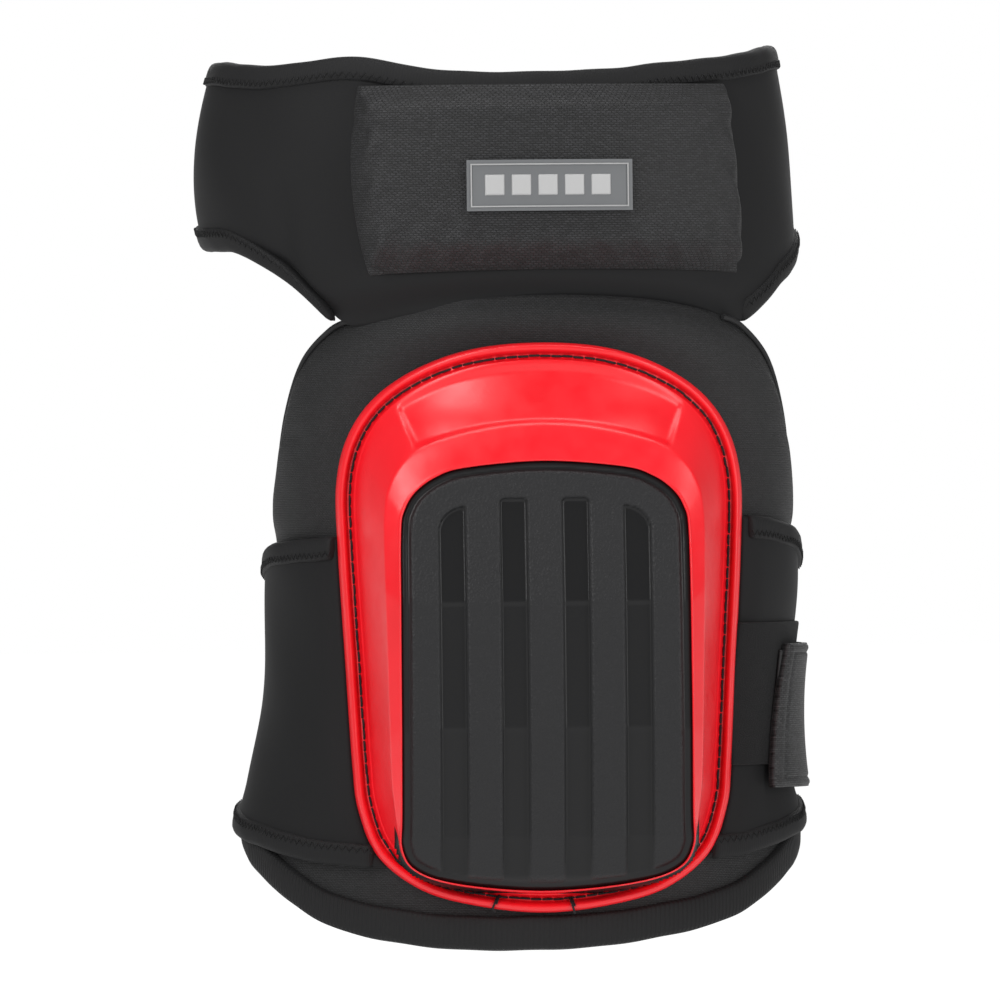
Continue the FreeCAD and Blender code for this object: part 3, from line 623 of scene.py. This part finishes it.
def tube(name, runs, radius, sides=3):
    """One mesh of thread: each run of points, in millimetres, becomes a round strand."""
    line = bpy.data.curves.new(name, "CURVE")
    line.dimensions = "3D"
    line.bevel_depth = radius * MM
    line.bevel_resolution = sides - 2
    line.use_fill_caps = True
    for run in runs:
        strand = line.splines.new("POLY")
        strand.points.add(len(run) - 1)
        for point, spot in zip(strand.points, run):
            point.co = (*(Vector(spot) * MM), 1)
    holder = bpy.data.objects.new(name, line)
    bpy.context.collection.objects.link(holder)
    bpy.context.view_layer.update()
    data = bpy.data.meshes.new_from_object(holder.evaluated_get(bpy.context.evaluated_depsgraph_get()))
    bpy.data.objects.remove(holder)
    data.name = name
    for face in data.polygons:
        face.use_smooth = True
    piece = bpy.data.objects.new(name, data)
    bpy.context.collection.objects.link(piece)
    return piece


def spun_thread(name, colour):
    """Twisted polyester thread, with a fine twist in the bump."""
    material = paint(name, colour, 0.6, Sheen_Weight=0.03, Sheen_Roughness=0.4, Specular_IOR_Level=0.3)
    place = add_node(material, "ShaderNodeTexCoord")
    twist = add_node(material, "ShaderNodeTexWave", Scale=1400, Distortion=1.5)
    bump = add_node(material, "ShaderNodeBump", Strength=0.5, Distance=0.0002)
    join(material, place.outputs["Object"], twist.inputs["Vector"])
    join(material, twist.outputs["Fac"], bump.inputs["Height"])
    join(material, bump.outputs["Normal"], shader_of(material).inputs["Normal"])
    return material


channel = smooth_points(rim_line(4.95, 4.15), CHANNEL_STEPS)
channel_length = sum((b - a).length for a, b in zip(channel, channel[1:]))
stitches = []
stitch_count = round(channel_length / STITCH_PITCH)
reach = round(CHANNEL_STEPS * STITCH_LENGTH / channel_length)
for index in range(stitch_count):
    start = round(index * CHANNEL_STEPS / stitch_count)
    sag = dice.uniform(-0.12, 0.12)
    places = (0, reach // 4, reach // 2, 3 * reach // 4, reach)
    heights = (0.35, -0.25, -0.4, -0.25, 0.35)
    spots = [channel[(start + step) % CHANNEL_STEPS] for step in places]
    stitches.append([spot + Vector((sag, height, sag)) for spot, height in zip(spots, heights)])
for across, lean in ((-17.5, -1.4), (8.5, 1.1)):
    tail = []
    for inwards, lift in ((5.1, 4.4), (3.4, 6.6), (1.9, 7.9), (0.4, 7.2), (-0.7, 5.2)):
        line = rim_line(inwards, lift)
        below = [point for point in line if point.z < 0]
        spot = min(below, key=lambda point: abs(point.x - across))
        tail.append(spot + Vector((lean * (5.6 - inwards) * 0.2, 0, 0)))
    stitches.append(tail)
    stitches.append([spot + Vector((0.7, 0.1, 0.2)) for spot in tail[:3]])
cap_thread = tube("cap_thread", stitches, THREAD_RADIUS, sides=4)
cap_thread.data.materials.append(spun_thread("black_thread", (0.012, 0.012, 0.013)))
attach(cap_thread, "root")
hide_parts("cap_stitching")

# ---- Padded knee body ---------------------------------------------------------------------
# A foam and gel pad in a cover of coated woven polyester, curved round the front of the knee.
# The cover is drawn over the pad's edges; behind it lies a quilted mesh lining.
COVER_TOP = (
    (-95, 38), (-87, 57), (-78, 80), (-67.6, 100), (-54.4, 112.5), (-30, 120.8), (0, 123.5),
    (30, 120.8), (54.4, 112.5), (67.6, 100), (78, 80), (87, 57), (95, 38),
)
COVER_BOTTOM = (
    (-95, -70), (-90, -74), (-60.6, -96), (-41.8, -109.5), (-21.5, -116), (1, -117.8),
    (23.6, -115), (46, -107.5), (66.2, -94), (90, -77), (95, -73),
)
COVER_SIDE = 95
PAD_THICKNESS = 12.0


def along(table, place):
    """A value read from a table of places and values, with an eased curve between them."""
    spots = sorted(table)
    index = max(0, min(len(spots) - 2, sum(place > spot[0] for spot in spots) - 1))
    low, high = spots[index], spots[index + 1]
    before, after = spots[max(index - 1, 0)], spots[min(index + 2, len(spots) - 1)]
    step = high[0] - low[0]
    t = max(0.0, min(1.0, (place - low[0]) / step))
    leave = (high[1] - before[1]) / (high[0] - before[0]) * step
    arrive = (after[1] - low[1]) / (after[0] - low[0]) * step
    return (
        (2 * t**3 - 3 * t**2 + 1) * low[1] + (t**3 - 2 * t**2 + t) * leave
        + (3 * t**2 - 2 * t**3) * high[1] + (t**3 - t**2) * arrive
    )


def wrapped(name, form, columns, rows, place):
    """A sheet wrapped round a form. place turns (u, v), each from 0 to 1, into an angle, a height
    and a lift; the sheet's UV map holds its flat size in millimetres."""
    shape = bmesh.new()
    bmesh.ops.create_grid(shape, x_segments=columns, y_segments=rows, size=0.5)
    flat = shape.loops.layers.uv.new("flat")
    flats = {}
    for vert in shape.verts:
        angle, height, lift = place(vert.co.x + 0.5, vert.co.y + 0.5)
        vert.co = around(form, angle, height, lift)
        half, depth, _ = level(form, height)
        flats[vert] = (math.radians(angle) * (half + depth) / 2, height)
    for face in shape.faces:
        for loop in face.loops:
            loop[flat].uv = flats[loop.vert]
    bmesh.ops.recalc_face_normals(shape, faces=shape.faces)
    shape.faces.ensure_lookup_table()
    middle = shape.faces[len(shape.faces) // 2]
    centre = middle.calc_center_median()
    if middle.normal.dot(Vector((centre.x, centre.y, 0))) < 0:
        bmesh.ops.reverse_faces(shape, faces=shape.faces)
    return finished(name, shape)


def thicken(piece, thickness, levels=1):
    """Gives a sheet its wall, towards the leg, with softened edges."""
    wall = piece.modifiers.new("wall", "SOLIDIFY")
    wall.thickness = thickness * MM
    wall.offset = -1
    wall.use_even_offset = False
    if levels:
        subdivide(piece, levels)


CAP_OUTLINE_STEPS = 480
cap_tree = kdtree.KDTree(CAP_OUTLINE_STEPS)
cap_outline = with_inside(CAP_EDGE, CAP_OUTLINE_STEPS)
for index, (spot, inside) in enumerate(cap_outline):
    cap_tree.insert((spot.x, spot.y, 0), index)
cap_tree.balance()


def outside_cap(across, up):
    """How far outside the cap's edge a spot is, in millimetres."""
    _, nearest, gap = cap_tree.find((across, up, 0))
    edge, inwards = cap_outline[nearest]
    return math.copysign(gap, (edge - Vector((across, up))).dot(inwards))


def ripple(a, b, size, seed=0.0):
    """A slow irregular wave between -1 and 1, for the unevenness of sewn cloth."""
    return (
        math.sin(a / size + 1.7 * seed) * math.cos(b / size * 0.8 - seed)
        + 0.5 * math.sin(a / size * 2.3 + b / size * 1.7 + seed)
    ) / 1.5


def cover_place(u, v):
    """Where a spot of the cover lies: puffed between the cap and the edges, drawn in at the edges,
    with a short level seam on each side."""
    angle = -COVER_SIDE + 2 * COVER_SIDE * u
    top, bottom = along(COVER_TOP, angle), along(COVER_BOTTOM, angle)
    height = bottom + (top - bottom) * v
    spot = around(LEG, angle, height) / MM
    edge = min(top - height, height - bottom, (COVER_SIDE - abs(angle)) * 1.3)
    free = ease(0, 11, outside_cap(spot.x, spot.z)) * ease(30, 42, height)
    puff = 2.4 * ease(0, 14, edge) * free
    pulled = -1.6 * (1 - ease(0, 7, edge))
    seam = -0.9 * math.exp(-((height - 71.5) / 1.1) ** 2) * free * ease(62, 66, abs(angle))
    return angle, height, puff + pulled + seam + 0.35 * ripple(angle, height, 9, 2) * free


def woven(name, colour, yarn, row, gap, bump_height):
    """Plain woven polyester: each raised yarn float is a brick. Random floats are painted lighter
    as painted glints of the weave, and the gaps between are painted near black as shade.
    """
    material = paint(name, colour, 0.62, Sheen_Weight=0.03, Sheen_Roughness=0.45)
    place = add_node(material, "ShaderNodeUVMap", uv_map="flat")
    wobble = add_node(material, "ShaderNodeTexNoise", Scale=0.35, Detail=2)
    shift = add_node(material, "ShaderNodeMixRGB", blend_type="ADD", Fac=0.35)
    weave = add_node(
        material, "ShaderNodeTexBrick", Scale=1.0, Mortar_Size=gap, Mortar_Smooth=0.7, Bias=0.0,
        Brick_Width=yarn, Row_Height=row,
    )
    # Painted glints: random yarn floats are coloured up to 3.2 times lighter. Painted shade: the gaps
    # between the yarns are near black.
    light = [part * 3.2 for part in colour]
    gap_shade = [part * 0.05 for part in colour]
    weave.inputs["Color1"].default_value = (*light, 1)
    weave.inputs["Color2"].default_value = (*colour, 1)
    weave.inputs["Mortar"].default_value = (*gap_shade, 1)
    raised = add_node(material, "ShaderNodeMath", operation="SUBTRACT")
    raised.inputs[0].default_value = 1
    bump = add_node(material, "ShaderNodeBump", Strength=0.9, Distance=bump_height * MM)
    join(material, place.outputs["UV"], wobble.inputs["Vector"])
    join(material, place.outputs["UV"], shift.inputs["Color1"])
    join(material, wobble.outputs["Color"], shift.inputs["Color2"])
    join(material, shift.outputs["Color"], weave.inputs["Vector"])
    join(material, weave.outputs["Fac"], raised.inputs[1])
    join(material, raised.outputs[0], bump.inputs["Height"])
    join(material, weave.outputs["Color"], shader_of(material).inputs["Base Color"])
    join(material, bump.outputs["Normal"], shader_of(material).inputs["Normal"])
    return material


cover = wrapped("knee_cover_pad", LEG, 110, 110, cover_place)
thicken(cover, PAD_THICKNESS)
fine_weave = woven("fine_weave", (0.0055, 0.0055, 0.006), 1.15, 0.65, 0.16, 0.4)
cover.data.materials.append(fine_weave)
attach(cover, "root")
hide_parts("knee_cover", "foam_core", "gel_cushion")


LINING_SIDE = 92
LINING_INSET = 2.5
LINING_LIFT = -12.6
QUILT_SIZE = 30
QUILT_PILLOW = 1.3


def lining_place(u, v):
    """Where a spot of the lining lies: a diamond quilt, inset from the cover's edges."""
    angle = -LINING_SIDE + 2 * LINING_SIDE * u
    top = along(COVER_TOP, angle) - LINING_INSET
    bottom = along(COVER_BOTTOM, angle) + LINING_INSET
    height = bottom + (top - bottom) * v
    edge = min(top - height, height - bottom, (LINING_SIDE - abs(angle)) * 1.3)
    rising = abs(math.sin((angle + height * 0.9) * math.pi / QUILT_SIZE))
    falling = abs(math.sin((angle - height * 0.9) * math.pi / QUILT_SIZE))
    pillow = min(ease(0, 0.5, rising), ease(0, 0.5, falling)) * ease(0, 10, edge)
    return angle, height, LINING_LIFT - QUILT_PILLOW * pillow


lining = wrapped("inner_lining_quilt", LEG, 120, 130, lining_place)
thicken(lining, 0.8, levels=0)
lining.data.materials.append(woven("mesh_lining", (0.03, 0.03, 0.033), 1.6, 1.6, 0.5, 0.2))
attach(lining, "root")
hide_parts("inner_lining")

# ---- Calf band ----------------------------------------------------------------------------
# Two wings of 4 mm neoprene run back from under the cap. Their edges are bound with folded
# elastic tape, sewn on with a zigzag stitch.
CAP_SIDE = [(up, across) for across, up in CAP_EDGE[:14]]
WING_TOPS = {
    -1: ((-151, -3), (-114, 20), (-90, 29.5), (-75, 32.2), (-48, 34.4), (-30, 36)),
    1: ((30, 42), (58, 40), (75, 36.5), (90, 31), (114, 20), (151, -3)),
}
WING_BOTTOMS = {
    -1: ((-151, -60), (-114, -66), (-90, -73), (-65, -79.5), (-49, -84), (-31, -87), (-15, -88)),
    1: ((20, -87), (46, -84), (63, -79.6), (90, -72), (114, -66), (151, -60)),
}
WING_END = 150
NEOPRENE = 4.0
TAPE_WIDTH = 8.3
ZIGZAG_PITCH = 1.25
ZIGZAG_SWING = 2.1
ZIGZAG_INSET = 3.2
FINE_THREAD_RADIUS = 0.2


def neoprene(name, colour):
    """Foam rubber with a smooth knitted face, a little uneven."""
    material = paint(name, colour, 0.72, Sheen_Weight=0.03, Sheen_Roughness=0.5, Specular_IOR_Level=0.3)
    place = add_node(material, "ShaderNodeUVMap", uv_map="flat")
    knit = add_node(material, "ShaderNodeTexNoise", Scale=1.6, Detail=3, Roughness=0.6)
    bump = add_node(material, "ShaderNodeBump", Strength=0.5, Distance=0.08 * MM)
    join(material, place.outputs["UV"], knit.inputs["Vector"])
    join(material, knit.outputs["Fac"], bump.inputs["Height"])
    join(material, bump.outputs["Normal"], shader_of(material).inputs["Normal"])
    return material


def tape_cloth(name, colour, pitch, depth):
    """Woven tape with fine ribs across its length."""
    material = paint(name, colour, 0.7, Sheen_Weight=0.03, Sheen_Roughness=0.4, Specular_IOR_Level=0.3)
    place = add_node(material, "ShaderNodeUVMap", uv_map="flat")
    ribs = add_node(material, "ShaderNodeTexWave", Scale=math.tau / 20 / pitch, Distortion=0.4)
    bump = add_node(material, "ShaderNodeBump", Strength=0.8, Distance=depth * MM)
    join(material, place.outputs["UV"], ribs.inputs["Vector"])
    join(material, ribs.outputs["Fac"], bump.inputs["Height"])
    join(material, bump.outputs["Normal"], shader_of(material).inputs["Normal"])
    return material


def folded_tape(name, form, edge, start, end, width, outer, inner, up):
    """Tape folded over the edge of a sheet. It reaches a width up or down from the edge and lies
    on both faces, whose lifts are outer and inner."""
    section = (
        (width, outer), (width - 0.7, outer + 1.05), (width / 2, outer + 1.2), (0.9, outer + 1.0),
        (-0.6, outer - 0.2), (-0.6, inner + 0.2), (0.9, inner - 0.9), (width - 0.7, inner - 0.9),
        (width, inner),
    )
    steps = max(8, round(abs(end - start) / 1.6))
    shape = bmesh.new()
    flat = shape.loops.layers.uv.new("flat")
    bmesh.ops.create_grid(shape, x_segments=steps, y_segments=len(section), size=0.5)
    flats = {}
    for vert in shape.verts:
        share, turn = vert.co.x + 0.5, round((vert.co.y + 0.5) * len(section))
        angle = start + (end - start) * share
        rise, lift = section[turn % len(section)]
        base = along(edge, angle) + 0.35 * ripple(angle, 0, 5, up)
        vert.co = around(form, angle, base + rise * up, lift + 0.2 * ripple(angle, rise, 3, 1))
        half, depth, _ = level(form, base)
        flats[vert] = (math.radians(angle) * (half + depth) / 2, turn * width / 3)
    for face in shape.faces:
        for loop in face.loops:
            loop[flat].uv = flats[loop.vert]
    bmesh.ops.remove_doubles(shape, verts=shape.verts, dist=0.00002)
    bmesh.ops.holes_fill(shape, edges=[edge for edge in shape.edges if edge.is_boundary], sides=12)
    bmesh.ops.recalc_face_normals(shape, faces=shape.faces)
    return finished(name, shape)


def zigzag(form, edge, start, end, rise, lift, up):
    """One line of zigzag thread along a folded tape, near its free edge, in millimetres."""
    half, depth, _ = level(form, along(edge, start))
    count = round(math.radians(abs(end - start)) * (half + depth) / 2 / ZIGZAG_PITCH)
    run = []
    for index in range(count + 1):
        angle = start + (end - start) * index / count
        tape_edge = along(edge, angle) + 0.35 * ripple(angle, 0, 5, up)
        height = tape_edge + (rise + index % 2 * ZIGZAG_SWING) * up
        run.append(around(form, angle, height, lift + 0.2 * ripple(angle, rise, 3, 1)) / MM)
    return run


def wing_place(side):
    """Where a spot of a wing lies: it runs from just under the cap's edge to the back."""
    def place(u, v):
        angle = side * 60.0
        for _ in range(4):
            top, bottom = along(WING_TOPS[side], angle), along(WING_BOTTOMS[side], angle)
            height = bottom + (top - bottom) * v
            half, _, shift = level(LEG, height)
            reach = (along(CAP_SIDE, height) - 2.2 - side * shift) / half
            inner = math.degrees(math.asin(min(reach, 1)))
            angle = side * (inner + (WING_END - inner) * u)
        spot = around(LEG, angle, height) / MM
        hold = ease(-1, 5, outside_cap(spot.x, spot.z))
        return angle, height, 3.3 + hold + 0.5 * ripple(angle, height, 13, 4) * hold
    return place


wing_cloth = neoprene("band_neoprene", (0.0045, 0.0045, 0.005))
elastic = tape_cloth("elastic_tape", (0.007, 0.007, 0.0075), 0.9, 0.06)
root_zigzags = []
for side, word, inner_top, inner_bottom in ((-1, "left", -50, -32), (1, "right", 52, 40)):
    wing = wrapped(f"{word}_wing_band", LEG, 60, 60, wing_place(side))
    thicken(wing, NEOPRENE)
    wing.data.materials.append(wing_cloth)
    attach(wing, "root")
    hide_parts(f"{word}_wing")
    for edge, table, inner, up in (
        ("top", WING_TOPS[side], inner_top, -1), ("bottom", WING_BOTTOMS[side], inner_bottom, 1)
    ):
        tape = folded_tape(
            f"{word}_{edge}_tape", LEG, table, inner, side * WING_END, TAPE_WIDTH, 4.5, 0.2, up
        )
        subdivide(tape, 1)
        tape.data.materials.append(elastic)
        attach(tape, "root")
        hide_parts(f"{word}_wing_{edge}_binding")
        root_zigzags.append(
            zigzag(LEG, table, inner, side * WING_END, TAPE_WIDTH - ZIGZAG_INSET, 5.75, up)
        )
band_thread = tube("band_thread", root_zigzags, FINE_THREAD_RADIUS)
band_thread.data.materials.append(spun_thread("grey_thread", (0.011, 0.011, 0.0115)))
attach(band_thread, "root")

# ---- Taped hem and piping -----------------------------------------------------------------
# Ribbed polyester tape, 12.5 mm wide, folded over the bottom edge of the pad, and narrow piping
# up its two sides.
HEM_WIDTH = 12.5
PIPING_RADIUS = 1.0
hem_edge = [(angle, height + 0.2) for angle, height in COVER_BOTTOM]
hem = folded_tape("hem_tape", LEG, hem_edge, -COVER_SIDE, COVER_SIDE, HEM_WIDTH, 1.4, -11.5, 1)
subdivide(hem, 1)
hem.data.materials.append(tape_cloth("ribbed_tape", (0.009, 0.009, 0.0095), 1.45, 0.35))
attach(hem, "root")
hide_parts("bottom_binding")
for side, word in ((-1, "left"), (1, "right")):
    pad_edge = [
        around(LEG, side * angle, height, 0.4) / MM
        for angle, height in ((92, 40), (84, 57), (75.5, 80), (65.5, 99), (54, 110.5), (47, 114))
    ]
    piping_line = smooth_points(pad_edge, 60, closed=False)
    piping = tube(f"{word}_piping", [piping_line], PIPING_RADIUS, sides=6)
    piping.data.materials.append(paint(f"{word}_piping", (0.007, 0.007, 0.0075), 0.75))
    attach(piping, "root")
    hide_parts(f"{word}_edge_piping")

# ---- Calf strap ---------------------------------------------------------------------------
# Polyester webbing, 52 mm wide, sewn to the left wing and led round the back. Its tip is folded
# double into a tab that grips a loop patch on the right wing.
STRAP_BOTTOM = -58.5
STRAP_TOP = -6.5
STRAP_LIFT = 9.4
WEBBING_WALL = 2.0
LOOP_WALL = 1.5
HOOK_WALL = 1.0
TAB_WALL = 3.1


def band_place(start, end, bottom, top, lift, wave=0.25):
    """Spots of a level band round a form, from one angle to another."""
    def place(u, v):
        angle = start + (end - start) * u
        height = bottom + (top - bottom) * v
        return angle, height, lift + wave * ripple(angle, height, 11, lift)
    return place


def loop_pile():
    """Loop pile: a felt of tiny curled fibres."""
    material = paint(
        "loop_pile", (0.005, 0.005, 0.0055), 0.95, Sheen_Weight=0.06, Sheen_Roughness=0.6,
        Specular_IOR_Level=0.25,
    )
    place = add_node(material, "ShaderNodeTexCoord")
    fuzz = add_node(material, "ShaderNodeTexNoise", Scale=1900, Detail=4, Roughness=0.8)
    bump = add_node(material, "ShaderNodeBump", Strength=1.0, Distance=0.5 * MM)
    join(material, place.outputs["Object"], fuzz.inputs["Vector"])
    join(material, fuzz.outputs["Fac"], bump.inputs["Height"])
    join(material, bump.outputs["Normal"], shader_of(material).inputs["Normal"])
    return material


pile = loop_pile()
webbing = woven("webbing", (0.014, 0.014, 0.0145), 1.5, 0.75, 0.14, 0.22)
hooks = paint("hook_tape", (0.008, 0.008, 0.0085), 0.6)
loop_patch = wrapped("calf_loop_pile", LEG, 50, 40, band_place(48, 123, -51, 1.5, 6.0))
thicken(loop_patch, LOOP_WALL)
loop_patch.data.materials.append(pile)
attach(loop_patch, "root")
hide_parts("calf_loop_patch")

strap_back = wrapped(
    "calf_webbing_back", LEG, 90, 24, band_place(-185, -116, STRAP_BOTTOM, STRAP_TOP, STRAP_LIFT)
)
thicken(strap_back, WEBBING_WALL, levels=0)
strap_back.data.materials.append(webbing)
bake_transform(strap_back)
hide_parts("calf_strap_anchor", "calf_strap_back")
strap_tip = wrapped(
    "calf_webbing_tip", LEG, 90, 24, band_place(97, 175, STRAP_BOTTOM, STRAP_TOP, STRAP_LIFT)
)
thicken(strap_tip, WEBBING_WALL, levels=0)
strap_tip.data.materials.append(webbing)
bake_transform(strap_tip)
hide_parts("calf_strap_end")


def tab_place(u, v):
    """Where a spot of the tab lies: its front edge leans, and a sewn line runs just inside its
    three free edges."""
    height = STRAP_BOTTOM - 1 + (STRAP_TOP - STRAP_BOTTOM + 1) * v
    front = 59.5 + 7.5 * v
    angle = front + (99 - front) * u
    edge = min(u * 30, v * 52, (1 - v) * 52)
    hem = -0.5 * math.exp(-((edge - 3.4) / 0.6) ** 2)
    return angle, height, 10.5 + hem - 0.9 * (1 - ease(0, 1.6, edge))


tab = wrapped("calf_tab", LEG, 60, 90, tab_place)
thicken(tab, TAB_WALL, levels=0)
tab.data.materials.append(webbing)
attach(tab, "calf_strap_tip")
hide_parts("calf_strap_tab")
tab_hooks = wrapped("calf_hooks", LEG, 30, 20, band_place(66, 120, -50, -9, 7.3, wave=0))
thicken(tab_hooks, HOOK_WALL, levels=0)
tab_hooks.data.materials.append(hooks)
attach(tab_hooks, "calf_strap_tip")
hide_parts("calf_hook_patch")

# ---- Thigh cuff ---------------------------------------------------------------------------
# A wide band of 4 mm neoprene above the knee, sewn in behind the top edge of the padded body.
# Its edges are bound with the same folded tape as the calf band.
THIGH = ((105, 99, 62, -4), (140, 109.5, 62, -11), (175, 110.5, 62, -14), (220, 102, 61, -12))
CUFF_TOP = (
    (-155, 208), (-130, 207.6), (-104, 209.5), (-78, 209.3), (-52, 207.6), (-31, 210.2),
    (-20, 206.6), (-10, 204.3), (11, 204), (23, 204.8), (33, 206.8), (49, 208.7), (73, 212.8),
    (90, 214), (107, 212), (130, 208), (149, 206),
)
CUFF_LOW = (
    (-155, 153), (-118, 146), (-90, 141), (-68, 140), (-59, 136), (-50, 127), (-46, 119),
    (-43.5, 112.5), (-38, 111.5), (-22, 115.5), (4, 118), (30, 115.5), (46, 111.5), (53, 111.5),
    (62, 118.5), (71.5, 127), (90, 136.5), (118, 146), (149, 152),
)


CUFF_LEFT = -154.3
CUFF_SWEEP = 302.6


def cuff_place(u, v):
    """Where a spot of the cuff lies: its front is tucked in behind the pad's top edge, and its
    left side has a soft crease and a hollow."""
    angle = CUFF_LEFT + CUFF_SWEEP * u
    low = along(CUFF_LOW, angle)
    height = low + (along(CUFF_TOP, angle) - low) * v
    front = 1 - ease(46, 60, abs(angle + 2))
    tucked = -4.5 * (1 - ease(2, 13, height - low)) * front
    off_crease = angle + 47 - (height - 148) * 0.12
    crease = -1.8 * math.exp(-(off_crease / 2.6) ** 2) * (1 - ease(150, 168, height))
    hollow = -1.5 * math.exp(-((angle + 58) / 12) ** 2 - ((height - 182) / 14) ** 2)
    return angle, height, tucked + crease + hollow + 0.6 * ripple(angle, height, 15, 5) - 0.2


cuff = wrapped("cuff_neoprene", THIGH, 130, 60, cuff_place)
thicken(cuff, NEOPRENE)
cuff.data.materials.append(wing_cloth)
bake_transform(cuff)
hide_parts("cuff_band", "cuff_neck")
for name, edge, start, end, up, node in (
    ("cuff_top_tape", CUFF_TOP, -154, 148, -1, "cuff_top_binding"),
    ("cuff_left_tape", CUFF_LOW, -154, -43.5, 1, "cuff_left_binding"),
    ("cuff_right_tape", CUFF_LOW, 54, 148, 1, "cuff_right_binding"),
):
    tape = folded_tape(name, THIGH, edge, start, end, TAPE_WIDTH, 0.1, -4.2, up)
    subdivide(tape, 1)
    tape.data.materials.append(elastic)
    run = zigzag(THIGH, edge, start, end, TAPE_WIDTH - ZIGZAG_INSET, 1.35, up)
    zigzags = tube(f"{name}_thread", [run], FINE_THREAD_RADIUS)
    zigzags.data.materials.append(bpy.data.materials["grey_thread"])
    for piece in (tape, zigzags):
        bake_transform(piece)
    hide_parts(node)

# ---- Thigh pocket -------------------------------------------------------------------------
# A soft panel on the front of the cuff: coarse woven polyester over a foam pad, sewn down all
# round. The cloth is a little too large for its pad, so it wrinkles at the corners.
POCKET_LEFT = -29.5
POCKET_RIGHT = 51.0
POCKET_BOTTOM = 131.5
POCKET_TOP = 200.0
POCKET_WIDTH = 150
POCKET_PUFF = 11.4
POCKET_CLOTH = 1.2


def pocket_place(u, v):
    """Where a spot of the pocket lies: a pillow with sewn edges, wrinkled near them, and a short
    fold at each top corner."""
    angle = POCKET_LEFT + (POCKET_RIGHT - POCKET_LEFT) * u
    low = POCKET_BOTTOM - 1.5 * (2 * u - 1) ** 2
    height = low + (POCKET_TOP - low) * v
    side = min(u, 1 - u) * POCKET_WIDTH
    edge = min(side, (height - low) * 1.1, (POCKET_TOP - height) * 1.3)
    corner = math.hypot(max(0, 12 - side), max(0, 12 - (height - low)))
    pillow = ease(-3, 13, edge - max(0, corner - 10))
    pull = ease(0, 24, side) * ease(0, 24, height - low)
    wrinkle = 0.8 * math.sin(side * 0.5 + (POCKET_TOP - height) * 0.35) * (1 - pull) * pillow
    off_fold = POCKET_TOP - height - 14 - 0.2 * side
    fold = 0.9 * math.exp(-(off_fold / 3.0) ** 2) * (1 - ease(8, 40, side))
    lift = 0.4 + POCKET_PUFF * pillow + wrinkle - fold + 0.2 * ripple(angle, height, 8, 6)
    return angle, height, lift


pocket = wrapped("pocket_pad", THIGH, 110, 80, pocket_place)
thicken(pocket, POCKET_CLOTH)
pocket.data.materials.append(woven("coarse_weave", (0.007, 0.007, 0.0077), 1.5, 0.85, 0.2, 0.5))
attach(pocket, "cuff")
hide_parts("thigh_pocket", "thigh_foam")

# ---- Cuff strap ---------------------------------------------------------------------------
# Webbing, 48 mm wide, closes the cuff behind the thigh in the same way as the calf strap.
CUFF_STRAP_BOTTOM = 155
CUFF_STRAP_TOP = 203
CUFF_STRAP_LIFT = 5.1
cuff_patch = wrapped("cuff_loop_pile", THIGH, 40, 40, band_place(116, 146, 163, 198, 1.7))
thicken(cuff_patch, LOOP_WALL)
cuff_patch.data.materials.append(pile)
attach(cuff_patch, "cuff")
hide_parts("cuff_loop_patch")
cuff_back = wrapped(
    "cuff_webbing_back", THIGH, 90, 24,
    band_place(-172, -109, CUFF_STRAP_BOTTOM, CUFF_STRAP_TOP, CUFF_STRAP_LIFT),
)
thicken(cuff_back, WEBBING_WALL, levels=0)
cuff_back.data.materials.append(webbing)
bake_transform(cuff_back)
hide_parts("cuff_strap_anchor", "cuff_strap_back")
cuff_tip = wrapped(
    "cuff_webbing_tip", THIGH, 90, 24,
    band_place(112, 188, CUFF_STRAP_BOTTOM, CUFF_STRAP_TOP, CUFF_STRAP_LIFT),
)
thicken(cuff_tip, WEBBING_WALL, levels=0)
cuff_tip.data.materials.append(webbing)
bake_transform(cuff_tip)
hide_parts("cuff_strap_end")
cuff_hooks = wrapped("cuff_hooks", THIGH, 30, 20, band_place(118, 144, 165, 196, 3.0, wave=0))
thicken(cuff_hooks, HOOK_WALL, levels=0)
cuff_hooks.data.materials.append(hooks)
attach(cuff_hooks, "cuff_strap_tip")
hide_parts("cuff_hook_patch")

# ---- Label --------------------------------------------------------------------------------
# A grey rubber label, sewn on the pocket with light thread. It carries plain raised bars.
BAR_COUNT = 5
BAR_WIDTH = 7.4
BAR_PITCH = 9.8
BAR_LEFT = -20.5
BAR_LOW = 158.6
BAR_HIGH = 166.4
BAR_WALL = 0.8
BAR_PROUD = 0.6
LABEL_LIFT = 13.6
LABEL_REACH = 14


def bar_place(start):
    """Spots of one bar, which starts at a distance to the right and has softened edges."""
    def place(u, v):
        height = BAR_LOW + (BAR_HIGH - BAR_LOW) * v
        half, _, shift = level(THIGH, height)
        across = start + BAR_WIDTH * u
        off_side = min(u, 1 - u) * BAR_WIDTH
        off_end = min(v, 1 - v) * (BAR_HIGH - BAR_LOW)
        raised = ease(0, 0.5, off_side) * ease(0, 0.5, off_end)
        angle = math.degrees(math.asin((across - shift) / (half + LABEL_REACH)))
        return angle, height, LABEL_LIFT + BAR_PROUD * raised
    return place


def recolour(node, material):
    """Gives a piece that keeps its first, exact shape its material."""
    piece = bpy.data.objects[node]
    if piece.material_slots:
        piece.material_slots[0].material = material
    else:
        piece.data.materials.append(material)


recolour("label", paint("label_rubber", (0.13, 0.135, 0.14), 0.55))
recolour("label_stitching", spun_thread("light_thread", (0.4, 0.4, 0.4)))
bar_rubber = paint("bar_rubber", (0.42, 0.42, 0.42), 0.5)
for index in range(BAR_COUNT):
    bar = wrapped(f"label_bar_{index}", THIGH, 18, 18, bar_place(BAR_LEFT + BAR_PITCH * index))
    thicken(bar, BAR_WALL, levels=0)
    bar.data.materials.append(bar_rubber)
    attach(bar, "cuff")
